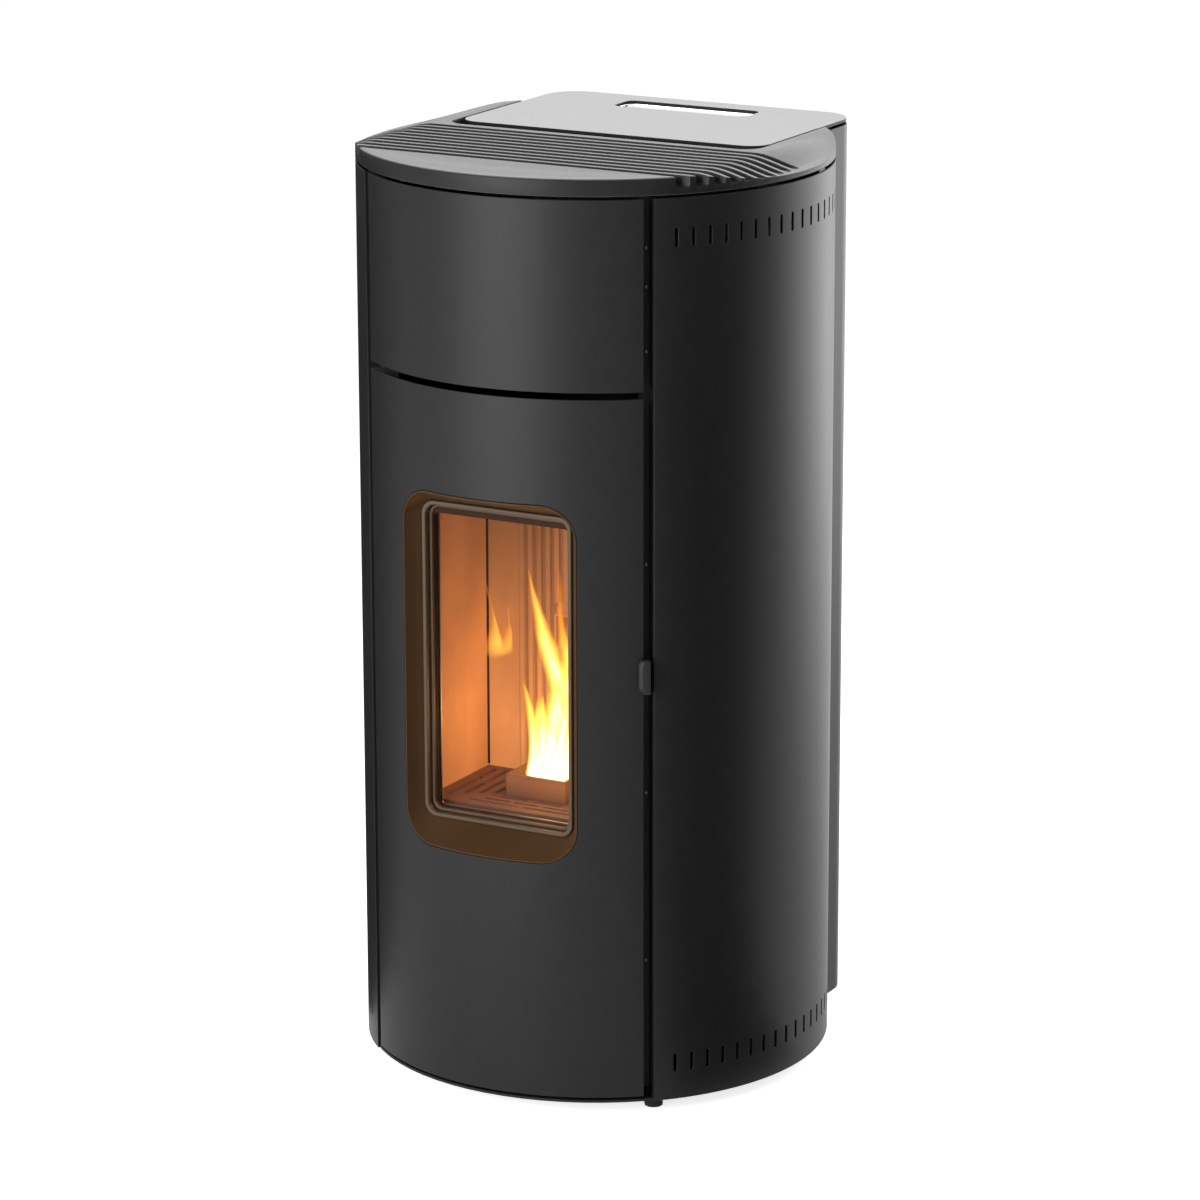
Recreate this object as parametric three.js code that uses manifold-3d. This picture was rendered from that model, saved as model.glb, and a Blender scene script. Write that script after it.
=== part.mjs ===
// A round free-standing pellet stove with a water jacket, built as an assembly of separate pieces.
// Millimetres, +Z up, the front faces -Y. Heights are above the floor that the feet stand on.
// Angles round the casing are in degrees from the front, positive towards +X.
import * as THREE from 'three';
import Module from 'manifold-3d';
import { mergeVertices } from 'three/addons/utils/BufferGeometryUtils.js';

const wasm = await Module();
wasm.setup();

// ---------------------------------------------------------------- driving dimensions

// clearances
const GAP = 0.3; // between pieces that touch
const RUNNING_GAP = 0.4; // round pins, shafts and stems that turn

// casing
const CASING_RADIUS = 280;
const SHEET = 2;
const FOOT_HEIGHT = 16; // floor to the casing's lower edge
const CASING_HEIGHT = 1093; // casing's lower edge to the flat top
const SIDE_END_ANGLE = 132;
const DOOR_HALF_ANGLE = 39.9;
const SEAM_ANGLE = 2.4; // open seam between the door and a side panel
const DOOR_HEIGHT = 834.6;
const DOOR_TOP_GAP = 7.7;
const DOOR_FLOOR_GAP = 4;
const BASE_THICKNESS = 3;
const BOSS_HEIGHT = 8; // threaded bosses for the feet, above the base plate
const BOSS_WALL = 4;

// rear box
const REAR_SIDE_STEP = 5; // rear box's side inside the end of the side panel
const REAR_STANDOFF = 4; // rear face behind the casing's circle
const REAR_CORNER = 42;
const REAR_TUCK = 10; // how far the rear box reaches in behind the side panels

// vent slots in the side panels
const SLOT_COUNT = 17;
const SLOT_FIRST_ANGLE = 47.7;
const SLOT_PITCH_ANGLE = 4.27;
const SLOT_WIDTH = 4;
const SLOT_HEIGHT = 22;
const SLOT_EDGE_DISTANCE = 45; // slot centre to the panel's upper or lower edge

// top slab
const TOP_THICKNESS = 20;
const TOP_REVEAL = 3.7; // shadow gap under the slab
const TOP_EDGE_CHAMFER = 3;
const GROOVE_COUNT = 10;
const CRESCENT_DEPTH = 91; // plain crescent in front of the first groove
const GROOVE_PITCH = 18.6;
const GROOVE_WIDTH = 12.6;
const GROOVE_DEPTH = 13;
const SHOULDER_WIDTH = 67; // sloping stretch along the casing's sides
const SHOULDER_DROP = 14; // fall of the shoulder at the casing's side
const LID_WELL_FRONT = 3; // from the casing's axis
const LID_WELL_GAP = 3; // well's side beside the rear box

// hopper lid
const LID_SIDE_GAP = 4;
const LID_FRONT_GAP = 24;
const LID_THICKNESS = 4;
const LID_FRONT_CORNER = 25;
const PULL_HALF_LENGTH = 90;
const PULL_REAR_DISTANCE = 33; // from the lid's rear edge
const PULL_WIDTH = 47;
const PULL_CORNER = 12;
const PULL_DEPTH = 6;
const PULL_WALL = 2;
const PULL_RIM = 4;
const HINGE_ROD_RADIUS = 2.5;
const HINGE_BARREL_RADIUS = 5;
const HINGE_SPAN = 140; // half the distance between the lid hinges' outer ends
const HINGE_WIDTH = 20;
const HINGE_BRACKET_LENGTH = 30;

// window in the door
const WINDOW_RISE = 501; // door's lower edge to the window's middle
const WINDOW_HALF_WIDTH = 115;
const WINDOW_HALF_HEIGHT = 213.5;
const WINDOW_CORNER = 42;
const RECESS_DROP = 3; // middle of the door's opening under the glass frame's
const GLASS_FRAME_HALF_WIDTH = 99;
const GLASS_FRAME_HALF_HEIGHT = 191;
const GLASS_FRAME_CORNER = 16;
const GLASS_FRAME_DEPTH = 12;
const BEAD_WIDTH = 5;
const BEAD_DROP = 8.4; // inner bead's face behind the outer bead's
const INNER_BEAD_WIDTH = 4;
const LINTEL_OVERHANG = 8; // extra depth of the plate's upper edge over the glass
const SURROUND_SETBACK = 4; // surround's inner edge behind the frame's face
const SURROUND_WALL = 1.5;

// cast door plate, glass and gasket
const DOOR_PLATE_THICKNESS = 8;
const DOOR_PLATE_ROOM = 2.4; // between the plate's upright edges and the door's skin
const DOOR_PLATE_OVERLAP = 2; // beyond the firebox flange at each side
const DOOR_PLATE_MARGIN = 46; // door plate beyond the glass frame, above and below
const GLASS_THICKNESS = 4;
const GLASS_OVERLAP = 8;
const CLAMP_WIDTH = 10;
const CLAMP_THICKNESS = 2;
const GASKET_RADIUS = 4.8;
const GASKET_SIDE_ROOM = 8; // gasket's middle beside the firebox opening
const GASKET_MARGIN = 33; // gasket's middle beyond the glass frame, above and below

// door pivots and latch
const PIVOT_INSET = 14; // door's hinge axis inside the casing's circle
const PIVOT_ANGLE = -38.4;
const PIN_RADIUS = 4;
const PIVOT_BLOCK_HEIGHT = 25;
const PIVOT_BLOCK_WALL = 6; // hinge axis to the block's inner face
const LATCH_ANGLE = 40.7;
const LATCH_RISE = 10; // above the window's middle
const LATCH_LENGTH = 40;
const LATCH_INSET = 10; // latch's axis inside the casing's circle
const LATCH_ARM_MARGIN = 8; // grip beyond the arm at each end
const LATCH_ARM_REACH = 6; // arm behind the latch's axis
const STRIKER_REACH = 3; // striker's front face behind the latch's axis

// frame posts
const POST_INSET = 21; // outer face of the post's flange inside the casing's circle
const POST_THICKNESS = 3;
const POST_DEPTH = 26;
const POST_END_ANGLE = 46.6;
const LINTEL_HEIGHT = 15;

// levelling feet
const FOOT_RADIUS = 11;
const STEM_RADIUS = 5;
const FRONT_FOOT_INSET = 30;
const FRONT_FOOT_ANGLE = 44;
const REAR_FOOT_SIDE_ROOM = 63; // foot's middle inside the rear box's side
const REAR_FOOT_REAR_ROOM = 69; // foot's middle in front of the rear face

// firebox
const FIREBOX_SIDE_ROOM = 154; // between the casing's circle and the inside at its widest
const FIREBOX_WALL = 4;
const FIREBOX_REAR = 45; // inside rear wall, from the casing's axis towards the front
const SILL_RISE = 3.3; // glass frame's lower edge above the firebox floor
const FIREBOX_HEADROOM = 29; // firebox ceiling above the glass frame's upper edge
const FLANGE_MARGIN = 14; // flange beyond the gasket's middle
const LINER_THICKNESS = 5.7;
const LINER_DROP = 62; // liner's upper edge below the firebox ceiling
const RIB_COUNT = 13;
const RIB_DEPTH = 4;
const RIB_PITCH = 12;
const RIB_WIDTH = 6;
const JACKET_GAP = 16; // water space round the firebox
const DEFLECTOR_SETBACK = 36; // behind the front edge of the side liners
const DEFLECTOR_THICKNESS = 8;
const DEFLECTOR_LIP_DEPTH = 5;
const DEFLECTOR_LIP_HEIGHT = 24;
const GRATE_THICKNESS = 12;
const GRATE_SLOT = 5;
const GRATE_HOLE_GAP = 2;
const GRATE_RINGS = 3; // slots in front of the burn pot
const GRATE_SIDE_PITCH = 16;
const ASH_HOLE_POT_ROOM = 16;
const ASH_HOLE_SIDE_ROOM = 18;
const ASH_HOLE_END_ROOM = 20;
const POT_HALF_WIDTH = 40;
const POT_FRONT = 150;
const POT_REAR = 70;
const POT_WALL = 4;
const POT_RISE = 26; // burn pot above the grate
const POT_DROP = 41; // burn pot below the firebox floor's upper face
const POT_FLOOR_DROP = 22;
const HOLDER_GAP = 4;
const HOLDER_WALL = 3;
const IGNITER_RADIUS = 5;
const IGNITER_X = -25;
const IGNITER_LENGTH = 69;
const IGNITER_HEAD_START = 29;
const IGNITER_HEAD_LENGTH = 20;
const IGNITER_HEAD_RIM = 4;

// ash drawer
const STAND_SHEET = 3;
const STAND_LEDGE = 24;
const STAND_FRONT_ROOM = 12; // stand behind the firebox's flange
const STAND_REAR_ROOM = 10; // stand in front of the firebox's rear
const DRAWER_SIDE_ROOM = 4; // drawer's side inside the firebox's
const DRAWER_FRONT_LAP = 8; // drawer's front beyond its sides
const DRAWER_FRONT_DROP = 6;
const DRAWER_FRONT_RISE = 3;
const DRAWER_GRIP_HALF_WIDTH = 45;
const DRAWER_GRIP_WALL = 8;
const DRAWER_GRIP_REACH = 16;
const DRAWER_GRIP_HEIGHT = 12;
const DRAWER_GRIP_ROOM = 10; // for fingers behind the grip
const DRAWER_HEADROOM = 5.4; // under the burn pot's holder
const DRAWER_HEIGHT = 130;
const DRAWER_DEPTH = 140;
const DRAWER_SHEET = 1.5;

// pellet feed
const AUGER_LOW_Y = 175;
const AUGER_HIGH_Y = 8;
const AUGER_LOW_RISE = 210; // axis' lower end above the firebox floor
const AUGER_CLIMB = 152;
const AUGER_TUBE_RADIUS = 32;
const AUGER_TUBE_WALL = 2;
const AUGER_CLEARANCE = 2.5;
const AUGER_PITCH = 36;
const AUGER_BLADE = 2.5;
const AUGER_SHAFT_RADIUS = 8;
const GEAR_GRIP = 10; // shaft's length inside the gearmotor
const GEARBOX_DEPTH = 26;
const GEARBOX_HALF_WIDTH = 34;
const GEARBOX_HALF_HEIGHT = 30;
const GEARMOTOR_RADIUS = 24;
const GEARMOTOR_LENGTH = 44;
const GEARMOTOR_DROP = 4; // motor's axis under the screw's
const NECK_HALF_WIDTH = 24;
const NECK_FRONT = 110;
const NECK_REAR = 160;
const NECK_RISE = 115; // neck's upper edge above the auger's lower end
const NECK_LENGTH = 36;
const NECK_CORNER = 6;
const SPOUT_FRONT = 8;
const SPOUT_REAR = 46;
const SPOUT_RISE = 72; // spout's lower edge above the auger's lower end
const HOPPER_SHEET = 2;
const HOPPER_SIDE_ROOM = 22; // mouth's side inside the lid's
const HOPPER_FRONT_ROOM = 11; // mouth's front behind the lid's front
const HOPPER_REAR_ROOM = 26; // mouth's rear in front of the rear face
const HOPPER_CORNER = 20;
const HOPPER_WALL_HEIGHT = 208; // upright walls under the flange
const HOPPER_FLANGE_DROP = 21; // flange below the lid's upper face
const GUARD_DROP = 44; // guard below the hopper's flange
const GUARD_BAR = 4;
const GUARD_INSET = 1; // guard inside the hopper's wall
const GUARD_BAYS = 9;
const SEAL_WIDTH = 6;

// smoke path
const FLUE_RADIUS = 40;
const FLUE_HEIGHT = 190;
const FLUE_WALL = 2;
const FLUE_STUB = 36; // flue outlet beyond the rear face
const FLUE_BEAD = 2;
const FAN_SIDE_ROOM = 26; // fan's middle inside the firebox's side
const FAN_HEIGHT = 150;
const FAN_RADIUS = 80;
const FAN_FRONT = 30;
const FAN_DEPTH = 60;
const FAN_INLET_RADIUS = 34;
const FAN_SHAFT_RADIUS = 5;
const IMPELLER_RADIUS = 56;
const IMPELLER_EYE = 30; // inner ends of the vanes
const IMPELLER_THICKNESS = 3;
const IMPELLER_ROOM = 15; // behind the impeller's disk
const FAN_MOTOR_RADIUS = 38;
const FAN_MOTOR_LENGTH = 58;
const DUCT_WALL = 2;
const DUCT_HALF_WIDTH = 40;
const SMOKE_SIDE_ROOM = 36; // smoke opening's middle inside the firebox's side
const SMOKE_HALF_WIDTH = 26;
const SMOKE_RISE = 76; // smoke opening's lower edge above the window's middle
const SMOKE_HEIGHT = 50;

// combustion air and water
const AIR_RADIUS = 17;
const AIR_X = 24;
const AIR_DROP = 20.7; // air pipe's middle below the firebox floor's underside
const AIR_STUB = 22;
const PIPE_RADIUS = 12;
const PIPE_BORE = 9;
const PIPE_STUB = 28;
const PIPE_HOLE_GAP = 2;
const RETURN_SIDE_ROOM = 53; // return pipe inside the rear box's side
const PIPE_SPACING = 40;
const WATER_HEIGHT = 110;
const FLOW_TAP_DROP = 184; // flow tapping below the firebox ceiling
const FLOW_BEND = 36;
const FLOW_STANDOFF = 82; // upright run behind the boiler
const PUMP_FRONT = 90;
const PUMP_LENGTH = 60;
const PUMP_HALF_WIDTH = 24;
const PUMP_ROTOR_RADIUS = 26;
const PUMP_ROTOR_HEIGHT = 64;
const VESSEL_RADIUS = 95;
const VESSEL_DEPTH = 60;
const VESSEL_Y = 20;
const VESSEL_HEIGHT = 430;

// electrics
const CONTROL_DEPTH = 48;
const CONTROL_LENGTH = 160;
const CONTROL_HEIGHT = 220;
const CONTROL_Y = 10;
const CONTROL_MIDDLE = 510;
const INLET_SIDE_ROOM = 38; // inlet inside the rear box's side
const INLET_WIDTH = 30;
const INLET_HEIGHT = 70;
const INLET_BOTTOM = 80;
const INLET_DEPTH = 24;
const BEZEL = 3;
const SOCKET_HEIGHT = 22;
const ROCKER_HEIGHT = 26;

// ---------------------------------------------------------------- places worked out from them

const radians = THREE.MathUtils.degToRad;
const BASE_BOTTOM = FOOT_HEIGHT;
const BASE_TOP = BASE_BOTTOM + BASE_THICKNESS;
const BOSS_TOP = BASE_TOP + BOSS_HEIGHT;
const TOP_FACE = FOOT_HEIGHT + CASING_HEIGHT;
const SLAB_BOTTOM = TOP_FACE - TOP_THICKNESS;
const PANEL_TOP = SLAB_BOTTOM - TOP_REVEAL;
const DOOR_BOTTOM = BASE_TOP + DOOR_FLOOR_GAP;
const DOOR_TOP = DOOR_BOTTOM + DOOR_HEIGHT;
const UPPER_PANEL_BOTTOM = DOOR_TOP + DOOR_TOP_GAP;
const INNER_RADIUS = CASING_RADIUS - SHEET;
const SIDE_START_ANGLE = DOOR_HALF_ANGLE + SEAM_ANGLE;
const POST_RADIUS = CASING_RADIUS - POST_INSET;
const PIVOT_RADIUS = CASING_RADIUS - PIVOT_INSET;
const LATCH_PIVOT_RADIUS = CASING_RADIUS - LATCH_INSET;
const REAR_FACE = CASING_RADIUS + REAR_STANDOFF;
const REAR_HALF_WIDTH = CASING_RADIUS * Math.sin(radians(SIDE_END_ANGLE)) - REAR_SIDE_STEP;
const REAR_INSET = SHEET + GAP; // inner pieces beside the rear box's sheet
const COVER_FRONT = -CASING_RADIUS * Math.cos(radians(SIDE_END_ANGLE)) - REAR_TUCK;
const LID_WELL_HALF_WIDTH = REAR_HALF_WIDTH + LID_WELL_GAP;
const LID_HALF_WIDTH = LID_WELL_HALF_WIDTH - LID_SIDE_GAP;
const LID_FRONT = LID_WELL_FRONT + LID_FRONT_GAP;
const LID_REAR = REAR_FACE;
const LID_BOTTOM = TOP_FACE - LID_THICKNESS;
const PULL_FRONT = LID_REAR - PULL_REAR_DISTANCE - PULL_WIDTH;
const COVER_TOP = LID_BOTTOM - 3;
const HINGE_Y = LID_REAR + HINGE_BARREL_RADIUS + 1;
const HINGE_Z = COVER_TOP;
const HOPPER_FLANGE_TOP = TOP_FACE - HOPPER_FLANGE_DROP;
const HOPPER_X = [HOPPER_SIDE_ROOM - LID_HALF_WIDTH, LID_HALF_WIDTH - HOPPER_SIDE_ROOM];
const HOPPER_Y = [LID_FRONT + HOPPER_FRONT_ROOM, REAR_FACE - HOPPER_REAR_ROOM];
const WINDOW_MIDDLE = DOOR_BOTTOM + WINDOW_RISE;
const RECESS_MIDDLE = WINDOW_MIDDLE - RECESS_DROP;
const LATCH_MIDDLE = WINDOW_MIDDLE + LATCH_RISE;
const FIREBOX_HALF_WIDTH = CASING_RADIUS - FIREBOX_SIDE_ROOM;
const JACKET_HALF_WIDTH = FIREBOX_HALF_WIDTH + FIREBOX_WALL + JACKET_GAP + FIREBOX_WALL;
const PLATE_HALF_WIDTH = JACKET_HALF_WIDTH + FIREBOX_WALL + DOOR_PLATE_OVERLAP;
const PLATE_FRONT = DOOR_PLATE_ROOM - Math.sqrt(INNER_RADIUS ** 2 - PLATE_HALF_WIDTH ** 2);
const GLASS_FRAME_FACE = PLATE_FRONT - GAP - GLASS_FRAME_DEPTH;
const PLATE_REAR = PLATE_FRONT + DOOR_PLATE_THICKNESS;
const GLASS_FRONT = PLATE_REAR + GAP;
const GLASS_REAR = GLASS_FRONT + GLASS_THICKNESS;
const GASKET_Y = PLATE_REAR + GAP + GASKET_RADIUS;
const FIREBOX_FRONT = GASKET_Y + GASKET_RADIUS + GAP;
const FIREBOX_FLOOR = WINDOW_MIDDLE - GLASS_FRAME_HALF_HEIGHT - SILL_RISE;
const FIREBOX_TOP = WINDOW_MIDDLE + GLASS_FRAME_HALF_HEIGHT + FIREBOX_HEADROOM;
const FLOOR_UNDERSIDE = FIREBOX_FLOOR - FIREBOX_WALL;
const GASKET_HALF_WIDTH = FIREBOX_HALF_WIDTH + GASKET_SIDE_ROOM;
const GASKET_HALF_HEIGHT = GLASS_FRAME_HALF_HEIGHT + GASKET_MARGIN;
const FLANGE_BOTTOM = WINDOW_MIDDLE - GASKET_HALF_HEIGHT - FLANGE_MARGIN;
const GRATE_BOTTOM = FIREBOX_FLOOR + GAP;
const GRATE_TOP = GRATE_BOTTOM + GRATE_THICKNESS;
const POT_TOP = GRATE_TOP + POT_RISE;
const POT_BOTTOM = FIREBOX_FLOOR - POT_DROP;
const HOLDER_BOTTOM = POT_BOTTOM - GAP - HOLDER_WALL;
const JACKET_REAR = -FIREBOX_REAR + FIREBOX_WALL + JACKET_GAP;
const JACKET_BACK = JACKET_REAR + FIREBOX_WALL + GAP;
const JACKET_TOP = FIREBOX_TOP + FIREBOX_WALL + 2 * JACKET_GAP + FIREBOX_WALL;
const DRAWER_BOTTOM = HOLDER_BOTTOM - DRAWER_HEADROOM - DRAWER_HEIGHT;
const AUGER_LOW = [AUGER_LOW_Y, FIREBOX_FLOOR + AUGER_LOW_RISE];
const AUGER_HIGH = [AUGER_HIGH_Y, AUGER_LOW[1] + AUGER_CLIMB];
const NECK_TOP = AUGER_LOW[1] + NECK_RISE;
const SPOUT_BOTTOM = AUGER_LOW[1] + SPOUT_RISE;
const AIR_HEIGHT = FLOOR_UNDERSIDE - AIR_DROP;
const RETURN_X = REAR_HALF_WIDTH - RETURN_SIDE_ROOM;
const FLOW_X = RETURN_X - PIPE_SPACING;
const FAN_X = FAN_SIDE_ROOM - FIREBOX_HALF_WIDTH;
const PIPE_REACH = REAR_FACE + PIPE_STUB;
const FLUE_REACH = REAR_FACE + FLUE_STUB;
const AXIS_Y = (CASING_RADIUS - FLUE_REACH) / 2; // casing axis in the part's frame

// ---------------------------------------------------------------- materials

const material = (color, roughness, metalness) =>
  new THREE.MeshStandardMaterial({ color, roughness, metalness });
const blackPaint = material(0x262627, 0.5, 0.3);
const deepBlack = material(0x101010, 0.7, 0.3);
const topPaint = material(0x6b6b6b, 0.5, 0.3);
const lidPaint = material(0xc9c9c9, 0.4, 0.5);
const pullFinish = material(0xf2f2f2, 0.3, 0.4);
const frameFinish = material(0x7d7266, 0.45, 0.6);
const surroundPaint = material(0x3c2f24, 0.5, 0.3);
const castIron = material(0x3a3432, 0.75, 0.6);
const steel = material(0x8c8c8c, 0.45, 0.8);
const galvanised = material(0xa3a7a8, 0.5, 0.7);
const brass = material(0xb08d4a, 0.35, 0.9);
const liner = material(0xb9825a, 0.85, 0.1);
const gasketRope = material(0x4a4a48, 0.95, 0);
const rubber = material(0x161616, 0.85, 0);
const darkPlastic = material(0x1d1d1f, 0.6, 0);
const redPaint = material(0xa02a22, 0.5, 0.2);
const ceramicGlass = material(0x2a211c, 0.08, 0);
ceramicGlass.transparent = true;
ceramicGlass.opacity = 0.35;

// ---------------------------------------------------------------- shape helpers

// A plan point at a radius and an angle from the front.
function polar(radius, angle) {
  return [radius * Math.sin(radians(angle)), -radius * Math.cos(radians(angle))];
}

function signedVolume(position, index) {
  const a = new THREE.Vector3();
  const b = new THREE.Vector3();
  const c = new THREE.Vector3();
  let volume = 0;
  for (let i = 0; i < index.length; i += 3) {
    a.fromBufferAttribute(position, index[i]);
    b.fromBufferAttribute(position, index[i + 1]);
    c.fromBufferAttribute(position, index[i + 2]);
    volume += a.dot(b.cross(c));
  }
  return volume;
}

// A closed three.js geometry as a solid that can be cut and joined.
function toSolid(geometry) {
  const bare = new THREE.BufferGeometry();
  bare.setAttribute('position', geometry.getAttribute('position'));
  if (geometry.index) bare.setIndex(geometry.index);
  const welded = mergeVertices(bare, 1e-4);
  const position = welded.getAttribute('position');
  const index = [];
  for (let i = 0; i < welded.index.count; i += 3) {
    const corner = [0, 1, 2].map((k) => welded.index.getX(i + k));
    if (new Set(corner).size === 3) index.push(...corner);
  }
  if (signedVolume(position, index) < 0) index.reverse();
  const triVerts = new Uint32Array(index);
  const vertProperties = new Float32Array(position.array);
  return new wasm.Manifold(new wasm.Mesh({ numProp: 3, vertProperties, triVerts }));
}

function toGeometry(solid) {
  const mesh = solid.getMesh();
  const geometry = new THREE.BufferGeometry();
  geometry.setAttribute('position', new THREE.BufferAttribute(mesh.vertProperties, 3));
  geometry.setIndex(new THREE.BufferAttribute(mesh.triVerts, 1));
  geometry.computeVertexNormals();
  return geometry;
}

function join(...solids) {
  return solids.reduce((whole, piece) => whole.add(piece));
}

function cut(solid, ...cutters) {
  return cutters.reduce((whole, piece) => whole.subtract(piece), solid);
}

function box([x0, x1], [y0, y1], [z0, z1]) {
  const geometry = new THREE.BoxGeometry(x1 - x0, y1 - y0, z1 - z0);
  geometry.translate((x0 + x1) / 2, (y0 + y1) / 2, (z0 + z1) / 2);
  return toSolid(geometry);
}

function polygon(points) {
  return new THREE.Shape(points.map(([x, y]) => new THREE.Vector2(x, y)));
}

function rectangle([x0, x1], [y0, y1], corner = 0) {
  const shape = new THREE.Shape();
  const corners = Array.isArray(corner) ? corner : [corner, corner];
  const [low, high] = corners;
  if (low === 0 && high === 0) {
    return polygon([[x0, y0], [x1, y0], [x1, y1], [x0, y1]]);
  }
  shape.moveTo(x0 + low, y0);
  shape.lineTo(x1 - low, y0);
  shape.absarc(x1 - low, y0 + low, low, -Math.PI / 2, 0, false);
  shape.lineTo(x1, y1 - high);
  shape.absarc(x1 - high, y1 - high, high, 0, Math.PI / 2, false);
  shape.lineTo(x0 + high, y1);
  shape.absarc(x0 + high, y1 - high, high, Math.PI / 2, Math.PI, false);
  shape.lineTo(x0, y0 + low);
  shape.absarc(x0 + low, y0 + low, low, Math.PI, 1.5 * Math.PI, false);
  return shape;
}

function disc(x, y, radius) {
  const shape = new THREE.Shape();
  shape.absarc(x, y, radius, 0, 2 * Math.PI, false);
  return shape;
}

// A curved strip of the casing in plan.
function arcBand(inner, outer, startAngle, endAngle) {
  const shape = new THREE.Shape();
  const start = radians(startAngle - 90);
  const end = radians(endAngle - 90);
  shape.absarc(0, 0, outer, start, end, false);
  shape.absarc(0, 0, inner, end, start, true);
  return shape;
}

// Straight prisms from an outline: drawn in plan, drawn in x and z, drawn in y and z.
function prismZ(shape, z0, z1, curveSegments = 4) {
  const settings = { depth: z1 - z0, bevelEnabled: false, curveSegments };
  const geometry = new THREE.ExtrudeGeometry(shape, settings);
  geometry.translate(0, 0, z0);
  return toSolid(geometry);
}

function prismY(shape, y0, y1, curveSegments = 4) {
  const settings = { depth: y1 - y0, bevelEnabled: false, curveSegments };
  const geometry = new THREE.ExtrudeGeometry(shape, settings);
  geometry.rotateX(Math.PI / 2);
  geometry.translate(0, y1, 0);
  return toSolid(geometry);
}

function prismX(shape, x0, x1, curveSegments = 4) {
  const settings = { depth: x1 - x0, bevelEnabled: false, curveSegments };
  const geometry = new THREE.ExtrudeGeometry(shape, settings);
  const turn = new THREE.Matrix4().makeBasis(
    new THREE.Vector3(0, 1, 0),
    new THREE.Vector3(0, 0, 1),
    new THREE.Vector3(1, 0, 0),
  );
  geometry.applyMatrix4(turn);
  geometry.translate(x0, 0, 0);
  return toSolid(geometry);
}

function cylinderZ(x, y, radius, z0, z1, curveSegments = 8) {
  return prismZ(disc(x, y, radius), z0, z1, curveSegments);
}

function cylinderY(x, z, radius, y0, y1, curveSegments = 8) {
  return prismY(disc(x, z, radius), y0, y1, curveSegments);
}

function turned(profile, segments) {
  const geometry = new THREE.LatheGeometry(
    profile.map(([radius, height]) => new THREE.Vector2(radius, height)),
    segments,
  );
  geometry.rotateX(Math.PI / 2);
  return geometry;
}

// A closed skin through equal rings of points, the last ring joined to the first.
function ringSkin(rings) {
  const count = rings[0].length;
  const geometry = new THREE.BufferGeometry();
  const position = new Float32Array(rings.flat(2));
  geometry.setAttribute('position', new THREE.BufferAttribute(position, 3));
  const index = [];
  rings.forEach((ring, i) => {
    const next = (i + 1) % rings.length;
    ring.forEach((point, j) => {
      const a = i * count + j;
      const b = i * count + ((j + 1) % count);
      const c = next * count + j;
      const d = next * count + ((j + 1) % count);
      index.push(a, b, d, a, d, c);
    });
  });
  geometry.setIndex(index);
  return toSolid(geometry);
}

// Points round a rectangle with round corners; both level sides get extra points.
function frameOutline(halfWidth, centre, halfHeight, corner, cornerSteps = 4, sideSteps = 1) {
  const points = [];
  const quarter = (cx, cz, start) => {
    for (let i = 0; i <= cornerSteps; i += 1) {
      const angle = start + (i / cornerSteps) * (Math.PI / 2);
      points.push([cx + corner * Math.cos(angle), cz + corner * Math.sin(angle)]);
    }
  };
  const level = (from, to, z) => {
    for (let i = 1; i < sideSteps; i += 1) {
      points.push([from + ((to - from) * i) / sideSteps, z]);
    }
  };
  const right = halfWidth - corner;
  const top = centre + halfHeight - corner;
  const bottom = centre - halfHeight + corner;
  quarter(right, top, 0);
  level(right, -right, centre + halfHeight);
  quarter(-right, top, Math.PI / 2);
  quarter(-right, bottom, Math.PI);
  level(-right, right, centre - halfHeight);
  quarter(right, bottom, 1.5 * Math.PI);
  return points;
}

function pipe(points, outer, bore, sides, steps) {
  const shape = new THREE.Shape();
  shape.absarc(0, 0, outer, 0, 2 * Math.PI, false);
  const hole = new THREE.Path();
  hole.absarc(0, 0, bore, 0, 2 * Math.PI, true);
  shape.holes.push(hole);
  const path = new THREE.CurvePath();
  const knots = points.map((point) => new THREE.Vector3(...point));
  const curve = new THREE.CatmullRomCurve3(knots, false, 'centripetal');
  const settings = { steps, extrudePath: curve, curveSegments: sides / 2, bevelEnabled: false };
  path.add(curve);
  return toSolid(new THREE.ExtrudeGeometry(shape, settings));
}

// An extent made longer by the same amount at both ends.
function widen([low, high], grow) {
  return [low - grow, high + grow];
}

// ---------------------------------------------------------------- the assembly

const stove = new THREE.Group();
stove.position.set(0, AXIS_Y, 0);

function place(name, solid, finish) {
  const mesh = new THREE.Mesh(toGeometry(solid), finish);
  mesh.name = name;
  stove.add(mesh);
  return mesh;
}

// ---------------------------------------------------------------- base, posts and lintel

const pivot = polar(PIVOT_RADIUS, PIVOT_ANGLE);
const frontFootRadius = CASING_RADIUS - FRONT_FOOT_INSET;
const rearFootX = REAR_HALF_WIDTH - REAR_FOOT_SIDE_ROOM;
const rearFootY = REAR_FACE - REAR_FOOT_REAR_ROOM;
const footPlaces = {
  foot_front_left: polar(frontFootRadius, -FRONT_FOOT_ANGLE),
  foot_front_right: polar(frontFootRadius, FRONT_FOOT_ANGLE),
  foot_rear_left: [-rearFootX, rearFootY],
  foot_rear_right: [rearFootX, rearFootY],
};

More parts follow.
